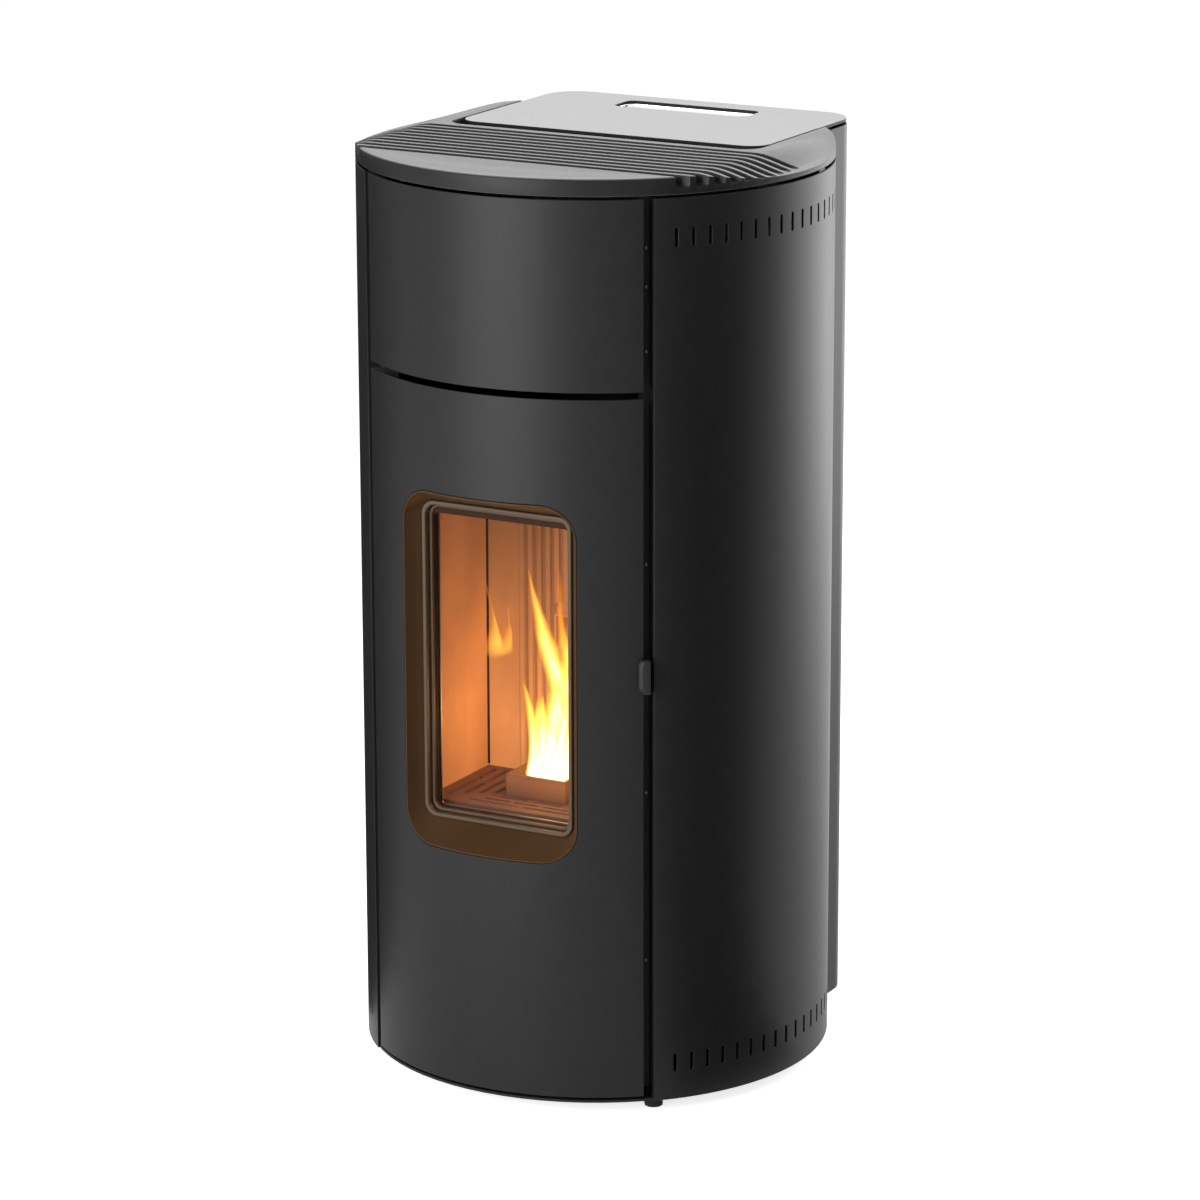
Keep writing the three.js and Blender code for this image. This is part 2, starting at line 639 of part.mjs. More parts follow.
function basePlate() {
  const inner = [REAR_INSET - REAR_HALF_WIDTH, REAR_HALF_WIDTH - REAR_INSET];
  const disk = cylinderZ(0, 0, CASING_RADIUS - REAR_INSET, BASE_BOTTOM, BASE_TOP, 36);
  const besideCover = [-1, 1].map((side) => {
    const x = [side * inner[1], side * CASING_RADIUS].sort((a, b) => a - b);
    return box(x, [COVER_FRONT - GAP, CASING_RADIUS], [BASE_BOTTOM - 1, BASE_TOP + 1]);
  });
  const round = cut(disk, ...besideCover);
  const rear = prismZ(
    rectangle(inner, [0, REAR_FACE - REAR_INSET], [1, REAR_CORNER - REAR_INSET]),
    BASE_BOTTOM,
    BASE_TOP,
  );
  const bosses = Object.values(footPlaces).map(([x, y]) =>
    cylinderZ(x, y, STEM_RADIUS + BOSS_WALL, BASE_BOTTOM + 1, BOSS_TOP),
  );
  const bores = Object.values(footPlaces).map(([x, y]) =>
    cylinderZ(x, y, STEM_RADIUS + RUNNING_GAP, BASE_BOTTOM - 1, BOSS_TOP + 1),
  );
  const pinHole = cylinderZ(...pivot, PIN_RADIUS + GAP, BASE_BOTTOM - 1, BASE_TOP + 1);
  return cut(join(round, rear, ...bosses), ...bores, pinHole);
}
place('base_plate', basePlate(), deepBlack);

function footSolid() {
  const stemTop = BOSS_TOP + 6;
  return turned(
    [
      [0, 0],
      [FOOT_RADIUS - 1, 0],
      [FOOT_RADIUS, 2],
      [FOOT_RADIUS, 9],
      [FOOT_RADIUS - 3, 12],
      [STEM_RADIUS, 12.5],
      [STEM_RADIUS, stemTop],
      [0, stemTop],
    ],
    20,
  );
}
for (const [name, [x, y]] of Object.entries(footPlaces)) {
  const geometry = footSolid();
  geometry.translate(x, y, 0);
  place(name, toSolid(geometry), rubber);
}

// An L-shaped post: a flange that closes the seam and a leg that runs inwards.
function postOutline(startAngle, endAngle) {
  const lean = Math.sign(endAngle - startAngle);
  const inner = POST_RADIUS - POST_THICKNESS;
  const foot = POST_RADIUS - POST_DEPTH;
  const legAngle = (radius) =>
    endAngle - lean * THREE.MathUtils.radToDeg(POST_THICKNESS / radius);
  const points = [
    polar(POST_RADIUS, startAngle),
    polar(POST_RADIUS, endAngle),
    polar(foot, endAngle),
    polar(foot, legAngle(foot)),
    polar(inner, legAngle(inner)),
    polar(inner, startAngle),
  ];
  return polygon(lean > 0 ? points : points.reverse());
}
const rightPostStart = DOOR_HALF_ANGLE - 0.4;
const leftPostStart = -SIDE_START_ANGLE - 0.1;
const postBottom = BOSS_TOP + GAP; // the posts stand on the front feet's bosses
const postTop = SLAB_BOTTOM - GAP;
// A lug on the right post, which the door latch's arm closes against.
function latchStriker() {
  const front = STRIKER_REACH - LATCH_PIVOT_RADIUS;
  const half = LATCH_LENGTH / 2 - LATCH_ARM_MARGIN;
  return box([1.6, 5.5], [front, 1 - POST_RADIUS], [LATCH_MIDDLE - half, LATCH_MIDDLE + half])
    .rotate([0, 0, LATCH_ANGLE]);
}
place(
  'frame_post_right',
  join(prismZ(postOutline(rightPostStart, POST_END_ANGLE), postBottom, postTop), latchStriker()),
  deepBlack,
);
place(
  'frame_post_left',
  prismZ(postOutline(leftPostStart, -POST_END_ANGLE), postBottom, postTop),
  deepBlack,
);

// The lintel joins the posts over the door and carries the upper panel and the upper hinge pin.
const lintelBottom = UPPER_PANEL_BOTTOM + 2;
const lintelTop = lintelBottom + LINTEL_HEIGHT;
function frameLintel() {
  const inner = POST_RADIUS - POST_THICKNESS;
  const outer = INNER_RADIUS - GAP;
  const endGap = THREE.MathUtils.radToDeg(GAP / POST_RADIUS);
  const front = prismZ(
    arcBand(inner, outer, -DOOR_HALF_ANGLE + 0.5, rightPostStart - endGap),
    lintelBottom,
    lintelTop,
    14,
  );
  const leftEnd = prismZ(
    arcBand(inner, POST_RADIUS, leftPostStart + endGap, 0),
    lintelBottom,
    lintelTop,
    14,
  );
  const pin = cylinderZ(...pivot, PIN_RADIUS, DOOR_TOP - pinReach, lintelTop - 1);
  return join(front, leftEnd, pin);
}
const pinReach = PIVOT_BLOCK_HEIGHT - 4;
place('frame_lintel', frameLintel(), deepBlack);

place(
  'hinge_pin',
  cylinderZ(...pivot, PIN_RADIUS, BASE_BOTTOM + GAP, DOOR_BOTTOM + pinReach),
  steel,
);

// ---------------------------------------------------------------- casing panels

place(
  'front_upper_panel',
  prismZ(
    arcBand(INNER_RADIUS, CASING_RADIUS, -DOOR_HALF_ANGLE, DOOR_HALF_ANGLE),
    UPPER_PANEL_BOTTOM,
    PANEL_TOP,
    16,
  ),
  blackPaint,
);

function ventSlot(angle, centre) {
  const half = SLOT_WIDTH / 2;
  const straight = SLOT_HEIGHT / 2 - half;
  const outline = polygon([
    [-half, centre - straight],
    [0, centre - straight - half],
    [half, centre - straight],
    [half, centre + straight],
    [0, centre + straight + half],
    [-half, centre + straight],
  ]);
  const cutter = prismY(outline, -CASING_RADIUS - 2, -INNER_RADIUS + 2);
  return cutter.rotate([0, 0, angle]);
}

function sidePanel(side) {
  const start = side * SIDE_START_ANGLE;
  const end = side * SIDE_END_ANGLE;
  const edgeAngle = THREE.MathUtils.radToDeg(SHEET / INNER_RADIUS);
  const [low, high] = [Math.min(start, end), Math.max(start, end)];
  const sheet = prismZ(
    arcBand(INNER_RADIUS, CASING_RADIUS, low, high),
    BASE_BOTTOM,
    PANEL_TOP,
    18,
  );
  const fold = prismZ(
    polygon([
      polar(POST_RADIUS + GAP, start),
      polar(INNER_RADIUS + SHEET / 2, start),
      polar(INNER_RADIUS + SHEET / 2, start + side * edgeAngle),
      polar(POST_RADIUS + GAP, start + side * edgeAngle),
    ]),
    BASE_TOP + GAP,
    PANEL_TOP,
  );
  const cutters = [];
  for (let i = 0; i < SLOT_COUNT; i += 1) {
    const angle = side * (SLOT_FIRST_ANGLE + i * SLOT_PITCH_ANGLE);
    cutters.push(ventSlot(angle, BASE_BOTTOM + SLOT_EDGE_DISTANCE));
    cutters.push(ventSlot(angle, PANEL_TOP - SLOT_EDGE_DISTANCE));
  }
  return cut(join(sheet, fold), ...cutters);
}
place('side_panel_right', sidePanel(1), blackPaint);
place('side_panel_left', sidePanel(-1), blackPaint);

function rearCover() {
  const half = REAR_HALF_WIDTH;
  const outer = prismZ(
    rectangle([-half, half], [0, REAR_FACE], [1, REAR_CORNER]),
    BASE_BOTTOM,
    COVER_TOP,
    6,
  );
  const inner = prismZ(
    rectangle([SHEET - half, half - SHEET], [-1, REAR_FACE - SHEET], [1, REAR_CORNER - SHEET]),
    BASE_BOTTOM - 1,
    COVER_TOP + 1,
    6,
  );
  const front = box([-half - 1, half + 1], [-2, COVER_FRONT], [0, TOP_FACE]);
  const through = [REAR_FACE - 12, REAR_FACE + 1];
  const holes = [
    cylinderY(0, FLUE_HEIGHT, FLUE_RADIUS + 1, ...through, 10),
    cylinderY(AIR_X, AIR_HEIGHT, AIR_RADIUS + 1, ...through, 6),
    cylinderY(FLOW_X, WATER_HEIGHT, PIPE_RADIUS + PIPE_HOLE_GAP, ...through, 5),
    cylinderY(RETURN_X, WATER_HEIGHT, PIPE_RADIUS + PIPE_HOLE_GAP, ...through, 5),
    box(widen(inletX, GAP), through, widen(inletZ, GAP)),
  ];
  return cut(outer, inner, front, ...holes);
}

// mains inlet with a rocker switch above it, set in the rear cover
const inletLeft = INLET_SIDE_ROOM - REAR_HALF_WIDTH;
const inletX = [inletLeft, inletLeft + INLET_WIDTH];
const inletZ = [INLET_BOTTOM, INLET_BOTTOM + INLET_HEIGHT];
const inletY = [REAR_FACE - INLET_DEPTH, REAR_FACE + SHEET];
const socketZ = [inletZ[0] + 2 * BEZEL, inletZ[0] + 2 * BEZEL + SOCKET_HEIGHT];
const rockerZ = [inletZ[1] - 2 * BEZEL - ROCKER_HEIGHT, inletZ[1] - 2 * BEZEL];
place('rear_cover', rearCover(), blackPaint);

const wellX = widen(inletX, -2 * BEZEL - 1);
function powerInlet() {
  const body = box(inletX, inletY, inletZ);
  const bezel = box(widen(inletX, BEZEL), [REAR_FACE + GAP, inletY[1]], widen(inletZ, BEZEL));
  const socket = box(widen(inletX, -BEZEL), [inletY[0] + 6, inletY[1] + 1], socketZ);
  const well = box(wellX, [inletY[1] - 10, inletY[1] + 1], rockerZ);
  return cut(join(body, bezel), socket, well);
}
place('power_inlet', powerInlet(), darkPlastic);

const rockerMiddle = (rockerZ[0] + rockerZ[1]) / 2;
function rocker() {
  const half = (rockerZ[1] - rockerZ[0]) / 2 - 2;
  const face = inletY[1];
  const outline = polygon([
    [face - 6, rockerMiddle - half],
    [face + 2.5, rockerMiddle - half],
    [face - 1, rockerMiddle],
    [face - 0.5, rockerMiddle + half],
    [face - 6, rockerMiddle + half],
  ]);
  return prismX(outline, wellX[0] + RUNNING_GAP, wellX[1] - RUNNING_GAP);
}
place('rear_switch', rocker(), rubber);

// ---------------------------------------------------------------- top slab

function topSlab() {
  const profile = [
    [0, SLAB_BOTTOM],
    [CASING_RADIUS, SLAB_BOTTOM],
    [CASING_RADIUS, TOP_FACE - TOP_EDGE_CHAMFER],
    [CASING_RADIUS - TOP_EDGE_CHAMFER, TOP_FACE],
    [0, TOP_FACE],
  ];
  const plate = toSolid(turned(profile, 72));
  const well = prismZ(
    rectangle([-LID_WELL_HALF_WIDTH, LID_WELL_HALF_WIDTH],
      [LID_WELL_FRONT, CASING_RADIUS + 1], [LID_FRONT_CORNER, 1]),
    SLAB_BOTTOM - 1,
    TOP_FACE + 1,
  );
  const above = TOP_FACE + 1;
  const shoulderStart = CASING_RADIUS - SHOULDER_WIDTH;
  const run = SHOULDER_WIDTH + 1;
  const steps = 7;
  const shoulder = [];
  for (let i = 0; i <= steps; i += 1) {
    const t = i / steps;
    const fall = SHOULDER_DROP * (t * t * (3 - 2 * t)) * (1 - 0.12 * (1 - t));
    shoulder.push([shoulderStart + run * t, TOP_FACE - fall]);
  }
  const outline = polygon([...shoulder, [CASING_RADIUS + 1, above], [shoulderStart, above]]);
  const reach = [-CASING_RADIUS - 1, CASING_RADIUS + 1];
  const rightFall = prismY(outline, ...reach);
  const leftFall = prismY(polygon([
    ...shoulder.map(([x, z]) => [-x, z]),
    [-CASING_RADIUS - 1, above],
    [-shoulderStart, above],
  ].reverse()), ...reach);
  const grooves = [];
  for (let i = 0; i < GROOVE_COUNT; i += 1) {
    const front = CRESCENT_DEPTH - CASING_RADIUS + i * GROOVE_PITCH;
    grooves.push(box(reach, [front, front + GROOVE_WIDTH], [TOP_FACE - GROOVE_DEPTH, above]));
  }
  return cut(plate, well, rightFall, leftFall, ...grooves);
}
place('top_slab', topSlab(), topPaint);

// ---------------------------------------------------------------- hopper and lid

function hopperLid() {
  const plate = prismZ(
    rectangle([-LID_HALF_WIDTH, LID_HALF_WIDTH], [LID_FRONT, LID_REAR],
      [LID_FRONT_CORNER, REAR_CORNER]),
    LID_BOTTOM,
    TOP_FACE,
    5,
  );
  const pull = prismZ(
    rectangle([-PULL_HALF_LENGTH, PULL_HALF_LENGTH], [PULL_FRONT, PULL_FRONT + PULL_WIDTH],
      PULL_CORNER),
    LID_BOTTOM - 1,
    TOP_FACE + 1,
  );
  return cut(plate, pull);
}
place('hopper_lid', hopperLid(), lidPaint);

function pullDish() {
  const top = LID_BOTTOM - GAP;
  const outline = (grow) =>
    rectangle([-PULL_HALF_LENGTH - grow, PULL_HALF_LENGTH + grow],
      [PULL_FRONT - grow, PULL_FRONT + PULL_WIDTH + grow], PULL_CORNER + grow);
  const bottom = top - PULL_DEPTH;
  const flange = prismZ(outline(PULL_RIM), top - PULL_WALL, top);
  const bowl = prismZ(outline(PULL_WALL), bottom, top);
  const hollow = prismZ(outline(0), bottom + PULL_WALL, top + 1);
  return cut(join(flange, bowl), hollow);
}
place('lid_pull_dish', pullDish(), pullFinish);

function cylinderX(y, z, radius, x0, x1, curveSegments = 6) {
  return prismX(disc(y, z, radius), x0, x1, curveSegments);
}

const knuckles = [-1, 1].map((side) => [
  Math.min(side * HINGE_SPAN, side * (HINGE_SPAN - HINGE_WIDTH)),
  Math.max(side * HINGE_SPAN, side * (HINGE_SPAN - HINGE_WIDTH)),
]);
const leafBand = [LID_BOTTOM - GAP - SHEET, LID_BOTTOM - GAP];

function lidHingeLeaf() {
  const strip = box([-HINGE_SPAN, HINGE_SPAN], [HOPPER_Y[1] + 8, LID_REAR - 3], leafBand);
  const barrels = knuckles.flatMap(([x0, x1]) => [
    cylinderX(HINGE_Y, HINGE_Z, HINGE_BARREL_RADIUS, x0, x1),
    box([x0, x1], [LID_REAR - 4, HINGE_Y], leafBand),
  ]);
  const bore = cylinderX(HINGE_Y, HINGE_Z, HINGE_ROD_RADIUS + RUNNING_GAP,
    -HINGE_SPAN - 1, HINGE_SPAN + 1);
  return cut(join(strip, ...barrels), bore);
}
place('lid_hinge_leaf', lidHingeLeaf(), steel);

function lidHingeBase() {
  const rod = cylinderX(HINGE_Y, HINGE_Z, HINGE_ROD_RADIUS, -HINGE_SPAN - 4, HINGE_SPAN + 4);
  const brackets = [-1, 1].flatMap((side) => {
    const outer = side * (HINGE_SPAN - HINGE_WIDTH - 0.5);
    const inner = side * (HINGE_SPAN - 2 * HINGE_WIDTH);
    const span = [Math.min(outer, inner), Math.max(outer, inner)];
    return [
      cylinderX(HINGE_Y, HINGE_Z, HINGE_BARREL_RADIUS, ...span),
      box(span, [REAR_FACE + GAP, HINGE_Y + 1], [HINGE_Z - HINGE_BRACKET_LENGTH, HINGE_Z]),
    ];
  });
  return join(rod, ...brackets);
}
place('lid_hinge_base', lidHingeBase(), steel);

function ringPlate(x, y, grow, corner, z0, z1) {
  const outer = prismZ(
    rectangle([x[0] - grow, x[1] + grow], [y[0] - grow, y[1] + grow], corner + grow),
    z0,
    z1,
  );
  const inner = prismZ(rectangle(x, y, corner), z0 - 1, z1 + 1);
  return cut(outer, inner);
}
place(
  'lid_seal',
  ringPlate(HOPPER_X, HOPPER_Y, SEAL_WIDTH, HOPPER_CORNER, HOPPER_FLANGE_TOP + GAP,
    LID_BOTTOM - GAP),
  rubber,
);

function mouthRing(halfWidth, [front, rear], corner, z) {
  const middle = (front + rear) / 2;
  return frameOutline(halfWidth, middle, (rear - front) / 2, corner, 3).map(([x, y]) => [x, y, z]);
}

function hopper() {
  const t = HOPPER_SHEET;
  const neckY = [NECK_FRONT, NECK_REAR];
  const shapes = [
    [HOPPER_X[1], HOPPER_Y, HOPPER_CORNER, HOPPER_FLANGE_TOP],
    [HOPPER_X[1], HOPPER_Y, HOPPER_CORNER, HOPPER_FLANGE_TOP - HOPPER_WALL_HEIGHT],
    [NECK_HALF_WIDTH, neckY, NECK_CORNER, NECK_TOP + NECK_LENGTH],
    [NECK_HALF_WIDTH, neckY, NECK_CORNER, NECK_TOP + GAP],
  ];
  const inner = shapes.map((shape) => mouthRing(...shape));
  const outer = shapes.map(([half, y, corner, z]) =>
    mouthRing(half + t, widen(y, t), corner + t, z),
  );
  const funnel = ringSkin([...inner, ...outer.reverse()]);
  const flangeX = [REAR_INSET - REAR_HALF_WIDTH, REAR_HALF_WIDTH - REAR_INSET];
  const flange = prismZ(
    rectangle(flangeX, [LID_WELL_FRONT + GAP, REAR_FACE - REAR_INSET],
      [LID_FRONT_CORNER, REAR_CORNER - REAR_INSET]),
    HOPPER_FLANGE_TOP - t,
    HOPPER_FLANGE_TOP,
  );
  const mouth = prismZ(rectangle(HOPPER_X, HOPPER_Y, HOPPER_CORNER), HOPPER_FLANGE_TOP - t - 1,
    HOPPER_FLANGE_TOP + 1, 2);
  return join(cut(flange, mouth), funnel);
}
place('hopper', hopper(), galvanised);

function hopperGuard() {
  const bar = GUARD_BAR;
  const z = [HOPPER_FLANGE_TOP - GUARD_DROP - bar, HOPPER_FLANGE_TOP - GUARD_DROP];
  const x = widen(HOPPER_X, -GUARD_INSET);
  const y = widen(HOPPER_Y, -GUARD_INSET);
  const plate = prismZ(rectangle(x, y, HOPPER_CORNER), ...z, 2);
  const bays = GUARD_BAYS;
  const pitch = (x[1] - x[0] - bar) / bays;
  const windows = [];
  for (let i = 0; i < bays; i += 1) {
    const left = x[0] + bar + i * pitch;
    const inner = i === 0 || i === bays - 1 ? HOPPER_CORNER : bar;
    windows.push(box([left, left + pitch - bar], widen(y, -inner), widen(z, 1)));
  }
  return cut(plate, ...windows);
}
place('hopper_guard', hopperGuard(), steel);

// ---------------------------------------------------------------- auger

const augerAxis = new THREE.Vector2(AUGER_HIGH[0] - AUGER_LOW[0], AUGER_HIGH[1] - AUGER_LOW[1]);
const augerLength = augerAxis.length();
const augerTilt = Math.atan2(augerAxis.y, -augerAxis.x); // above the horizontal, towards the front

// Turns a shape built upright about Z on to the auger's axis, its base at the low end.
function onAuger(solid) {
  const lean = 90 - THREE.MathUtils.radToDeg(augerTilt);
  return solid.rotate([lean, 0, 0]).translate([0, AUGER_LOW[0], AUGER_LOW[1]]);
}

function augerTube() {
  const wall = AUGER_TUBE_WALL;
  const end = 3;
  const bore = AUGER_TUBE_RADIUS - wall;
  const outer = onAuger(cylinderZ(0, 0, AUGER_TUBE_RADIUS, 0, augerLength, 8));
  const inner = onAuger(cylinderZ(0, 0, bore, end, augerLength - end, 8));
  const shaftHole = onAuger(
    cylinderZ(0, 0, AUGER_SHAFT_RADIUS + RUNNING_GAP, -1, augerLength + 1, 6),
  );
  const neckX = [-NECK_HALF_WIDTH, NECK_HALF_WIDTH];
  const neckY = [NECK_FRONT, NECK_REAR];
  const axisHeight = (y) =>
    AUGER_LOW[1] + ((y - AUGER_LOW[0]) / (AUGER_HIGH[0] - AUGER_LOW[0])) * augerAxis.y;
  const collar = box(widen(neckX, wall), widen(neckY, wall), [axisHeight(NECK_REAR), NECK_TOP]);
  const collarBore = box(neckX, neckY, [axisHeight(NECK_FRONT), NECK_TOP + 1]);
  const spoutY = [SPOUT_FRONT, SPOUT_REAR];
  const spoutTop = axisHeight(SPOUT_FRONT) - AUGER_CLEARANCE;
  const spout = box(widen(neckX, wall), widen(spoutY, wall), [SPOUT_BOTTOM, spoutTop - 10]);
  const spoutBore = box(neckX, spoutY, [SPOUT_BOTTOM - 1, axisHeight(SPOUT_REAR) - 4]);
  const shell = cut(join(outer, collar, spout), inner);
  return cut(shell, collarBore, spoutBore, shaftHole);
}
place('auger_tube', augerTube(), galvanised);

function augerScrew() {
  const radius = AUGER_TUBE_RADIUS - AUGER_TUBE_WALL - AUGER_CLEARANCE;
  const from = 8;
  const turns = Math.floor((augerLength - 2 * from) / AUGER_PITCH);
  const perTurn = 12;
  const rings = [];
  const blade = AUGER_BLADE;
  const root = AUGER_SHAFT_RADIUS - 2;
  for (let i = 0; i <= turns * perTurn; i += 1) {
    const angle = (i / perTurn) * 2 * Math.PI;
    const z = from + (i / perTurn) * AUGER_PITCH;
    const at = (r, h) => [r * Math.cos(angle), r * Math.sin(angle), h];
    rings.push([at(root, z), at(radius, z), at(radius, z + blade), at(root, z + blade)]);
  }
  const index = [];
  const position = new Float32Array(rings.flat(2));
  for (let i = 0; i < rings.length - 1; i += 1) {
    for (let j = 0; j < 4; j += 1) {
      const a = 4 * i + j;
      const b = 4 * i + ((j + 1) % 4);
      index.push(a, b, b + 4, a, b + 4, a + 4);
    }
  }
  const last = 4 * (rings.length - 1);
  index.push(0, 2, 1, 0, 3, 2, last, last + 1, last + 2, last, last + 2, last + 3);
  const geometry = new THREE.BufferGeometry();
  geometry.setAttribute('position', new THREE.BufferAttribute(position, 3));
  geometry.setIndex(index);
  const shaft = cylinderZ(0, 0, AUGER_SHAFT_RADIUS, -GEAR_GRIP, augerLength + 2, 6);
  return onAuger(join(toSolid(geometry), shaft));
}
place('auger_screw', augerScrew(), steel);

function augerGearmotor() {
  const rear = -GEAR_GRIP - GEARBOX_DEPTH;
  const gearbox = box(widen([0, 0], GEARBOX_HALF_WIDTH), widen([0, 0], GEARBOX_HALF_HEIGHT),
    [rear, -GAP]);
  const motor = cylinderZ(0, -GEARMOTOR_DROP, GEARMOTOR_RADIUS, rear - GEARMOTOR_LENGTH, rear + 1,
    8);
  const socket = cylinderZ(0, 0, AUGER_SHAFT_RADIUS + RUNNING_GAP, -GEAR_GRIP - GAP, 1, 6);
  return onAuger(cut(join(gearbox, motor), socket));
}
place('auger_gearmotor', augerGearmotor(), steel);

// ---------------------------------------------------------------- firebox

const chuteDrop = SPOUT_BOTTOM - GAP;
const chuteMouth = -FIREBOX_REAR - LINER_THICKNESS - RIB_DEPTH - 2;
const chuteRoof = (y) => chuteDrop - 6 - (SPOUT_FRONT - y);
const chuteFloor = (y) => chuteDrop - 6 - (SPOUT_REAR - y);

function pelletChute() {
  const wall = AUGER_TUBE_WALL;
  const outer = prismX(polygon([
    [SPOUT_REAR + wall, chuteDrop],
    [SPOUT_FRONT - wall, chuteDrop],
    [SPOUT_FRONT - wall, chuteRoof(SPOUT_FRONT - wall) + wall],
    [chuteMouth, chuteRoof(chuteMouth) + wall],
    [chuteMouth, chuteFloor(chuteMouth) - wall],
    [SPOUT_REAR + wall, chuteFloor(SPOUT_REAR + wall) - wall],
  ]), -NECK_HALF_WIDTH - wall, NECK_HALF_WIDTH + wall);
  const inner = prismX(polygon([
    [SPOUT_REAR, chuteDrop + 1],
    [SPOUT_FRONT, chuteDrop + 1],
    [SPOUT_FRONT, chuteRoof(SPOUT_FRONT)],
    [chuteMouth - 1, chuteRoof(chuteMouth - 1)],
    [chuteMouth - 1, chuteFloor(chuteMouth - 1)],
    [SPOUT_REAR, chuteFloor(SPOUT_REAR)],
  ]), -NECK_HALF_WIDTH, NECK_HALF_WIDTH);
  return cut(outer, inner);
}
place('pellet_chute', pelletChute(), galvanised);

// A hole for the chute through an upright wall between two depths.
function chuteHole(y0, y1) {
  const room = AUGER_TUBE_WALL + 1;
  return box([-NECK_HALF_WIDTH - room, NECK_HALF_WIDTH + room], [y0 - 1, y1 + 1],
    [chuteFloor(y0) - room - 1, chuteRoof(y1) + room + 1]);
}

const smokeX = widen([SMOKE_SIDE_ROOM - FIREBOX_HALF_WIDTH, SMOKE_SIDE_ROOM - FIREBOX_HALF_WIDTH],
  SMOKE_HALF_WIDTH);
const smokeZ = [WINDOW_MIDDLE + SMOKE_RISE, WINDOW_MIDDLE + SMOKE_RISE + SMOKE_HEIGHT];

function fireboxBody() {
  const wall = FIREBOX_WALL;
  const half = FIREBOX_HALF_WIDTH;
  const shellY = [FIREBOX_FRONT + wall - 1, wall - FIREBOX_REAR];
  const shell = box([-half - wall, half + wall], shellY, [FLOOR_UNDERSIDE, FIREBOX_TOP + wall]);
  const flange = prismY(
    rectangle([-JACKET_HALF_WIDTH - wall, JACKET_HALF_WIDTH + wall],
      [FLANGE_BOTTOM, JACKET_TOP + wall], 10),
    FIREBOX_FRONT,
    FIREBOX_FRONT + wall,
    2,
  );
  const hollow = box([-half, half], [FIREBOX_FRONT - 1, -FIREBOX_REAR],
    [FIREBOX_FLOOR, FIREBOX_TOP]);
  const ashHoles = [-1, 1].map((side) => {
    const near = POT_HALF_WIDTH + ASH_HOLE_POT_ROOM;
    const far = FIREBOX_HALF_WIDTH - ASH_HOLE_SIDE_ROOM;
    const x = [side * near, side * far].sort((a, b) => a - b);
    const y = [FIREBOX_FRONT + ASH_HOLE_END_ROOM, -FIREBOX_REAR - ASH_HOLE_END_ROOM];
    return box(x, y, [FLOOR_UNDERSIDE - 1, FIREBOX_FLOOR + 1]);
  });
  const potHole = box(
    [-POT_HALF_WIDTH - GRATE_HOLE_GAP, POT_HALF_WIDTH + GRATE_HOLE_GAP],
    [-POT_FRONT - GRATE_HOLE_GAP, -POT_REAR + GRATE_HOLE_GAP],
    [FLOOR_UNDERSIDE - 1, FIREBOX_FLOOR + 1],
  );
  const rear = [-FIREBOX_REAR, -FIREBOX_REAR + wall];
  const smokeTop = FIREBOX_TOP - FIREBOX_WALL;
  const smoke = box(smokeX, widen(rear, 1), [smokeTop - SMOKE_HEIGHT, smokeTop]);
  return cut(join(shell, flange), hollow, ...ashHoles, potHole, chuteHole(...rear), smoke);
}
place('firebox_body', fireboxBody(), castIron);

function boilerShell() {
  const wall = FIREBOX_WALL;
  const half = JACKET_HALF_WIDTH;
  const front = FIREBOX_FRONT + wall + GAP;
  const outer = box([-half, half], [front, JACKET_REAR + wall], [FLOOR_UNDERSIDE, JACKET_TOP]);
  const inner = box([wall - half, half - wall], [front - 1, JACKET_REAR],
    [FLOOR_UNDERSIDE - 1, JACKET_TOP - wall]);
  const rear = [JACKET_REAR, JACKET_REAR + wall];
  const smoke = box(smokeX, [rear[0] - 1, rear[1] + 1], smokeZ);
  return cut(outer, inner, chuteHole(...rear), smoke);
}
place('boiler_shell', boilerShell(), blackPaint);

const linerBottom = GRATE_BOTTOM;
const linerTop = FIREBOX_TOP - LINER_DROP;
const linerFront = FIREBOX_FRONT + 8;
const ribFace = -FIREBOX_REAR - LINER_THICKNESS - RIB_DEPTH;
function sideLiner(side) {
  const near = FIREBOX_HALF_WIDTH - GAP - LINER_THICKNESS;
  const x = [side * near, side * (near + LINER_THICKNESS)].sort((a, b) => a - b);
  return box(x, [linerFront, ribFace - 1], [linerBottom, linerTop]);
}
place('side_liner_left', sideLiner(-1), liner);
place('side_liner_right', sideLiner(1), liner);

function rearLiner() {
  const half = FIREBOX_HALF_WIDTH - GAP;
  const back = -FIREBOX_REAR - GAP;
  const face = back - LINER_THICKNESS + GAP;
  const plate = box([-half, half], [face, back], [linerBottom, linerTop]);
  const ribs = [];
  for (let i = 0; i < RIB_COUNT; i += 1) {
    const x = (i - (RIB_COUNT - 1) / 2) * RIB_PITCH;
    ribs.push(box([x - RIB_WIDTH / 2, x + RIB_WIDTH / 2], [ribFace, face + 1], [linerBottom, linerTop]));
  }
  return cut(join(plate, ...ribs), chuteHole(ribFace, back));
}
place('rear_liner', rearLiner(), liner);

function smokeDeflector() {
  const half = FIREBOX_HALF_WIDTH - GAP - 1;
  const front = linerFront + DEFLECTOR_SETBACK;
  const rear = -FIREBOX_REAR - 1;
  const plate = box([-half, half], [front, rear], [linerTop + GAP, linerTop + DEFLECTOR_THICKNESS]);
  const lip = box([-half, half], [front, front + DEFLECTOR_LIP_DEPTH],
    [linerTop + 1, linerTop + DEFLECTOR_LIP_HEIGHT]);
  return join(plate, lip);
}
place('smoke_deflector', smokeDeflector(), castIron);

const potOuterX = [-POT_HALF_WIDTH, POT_HALF_WIDTH];
const potOuterY = [-POT_FRONT, -POT_REAR];

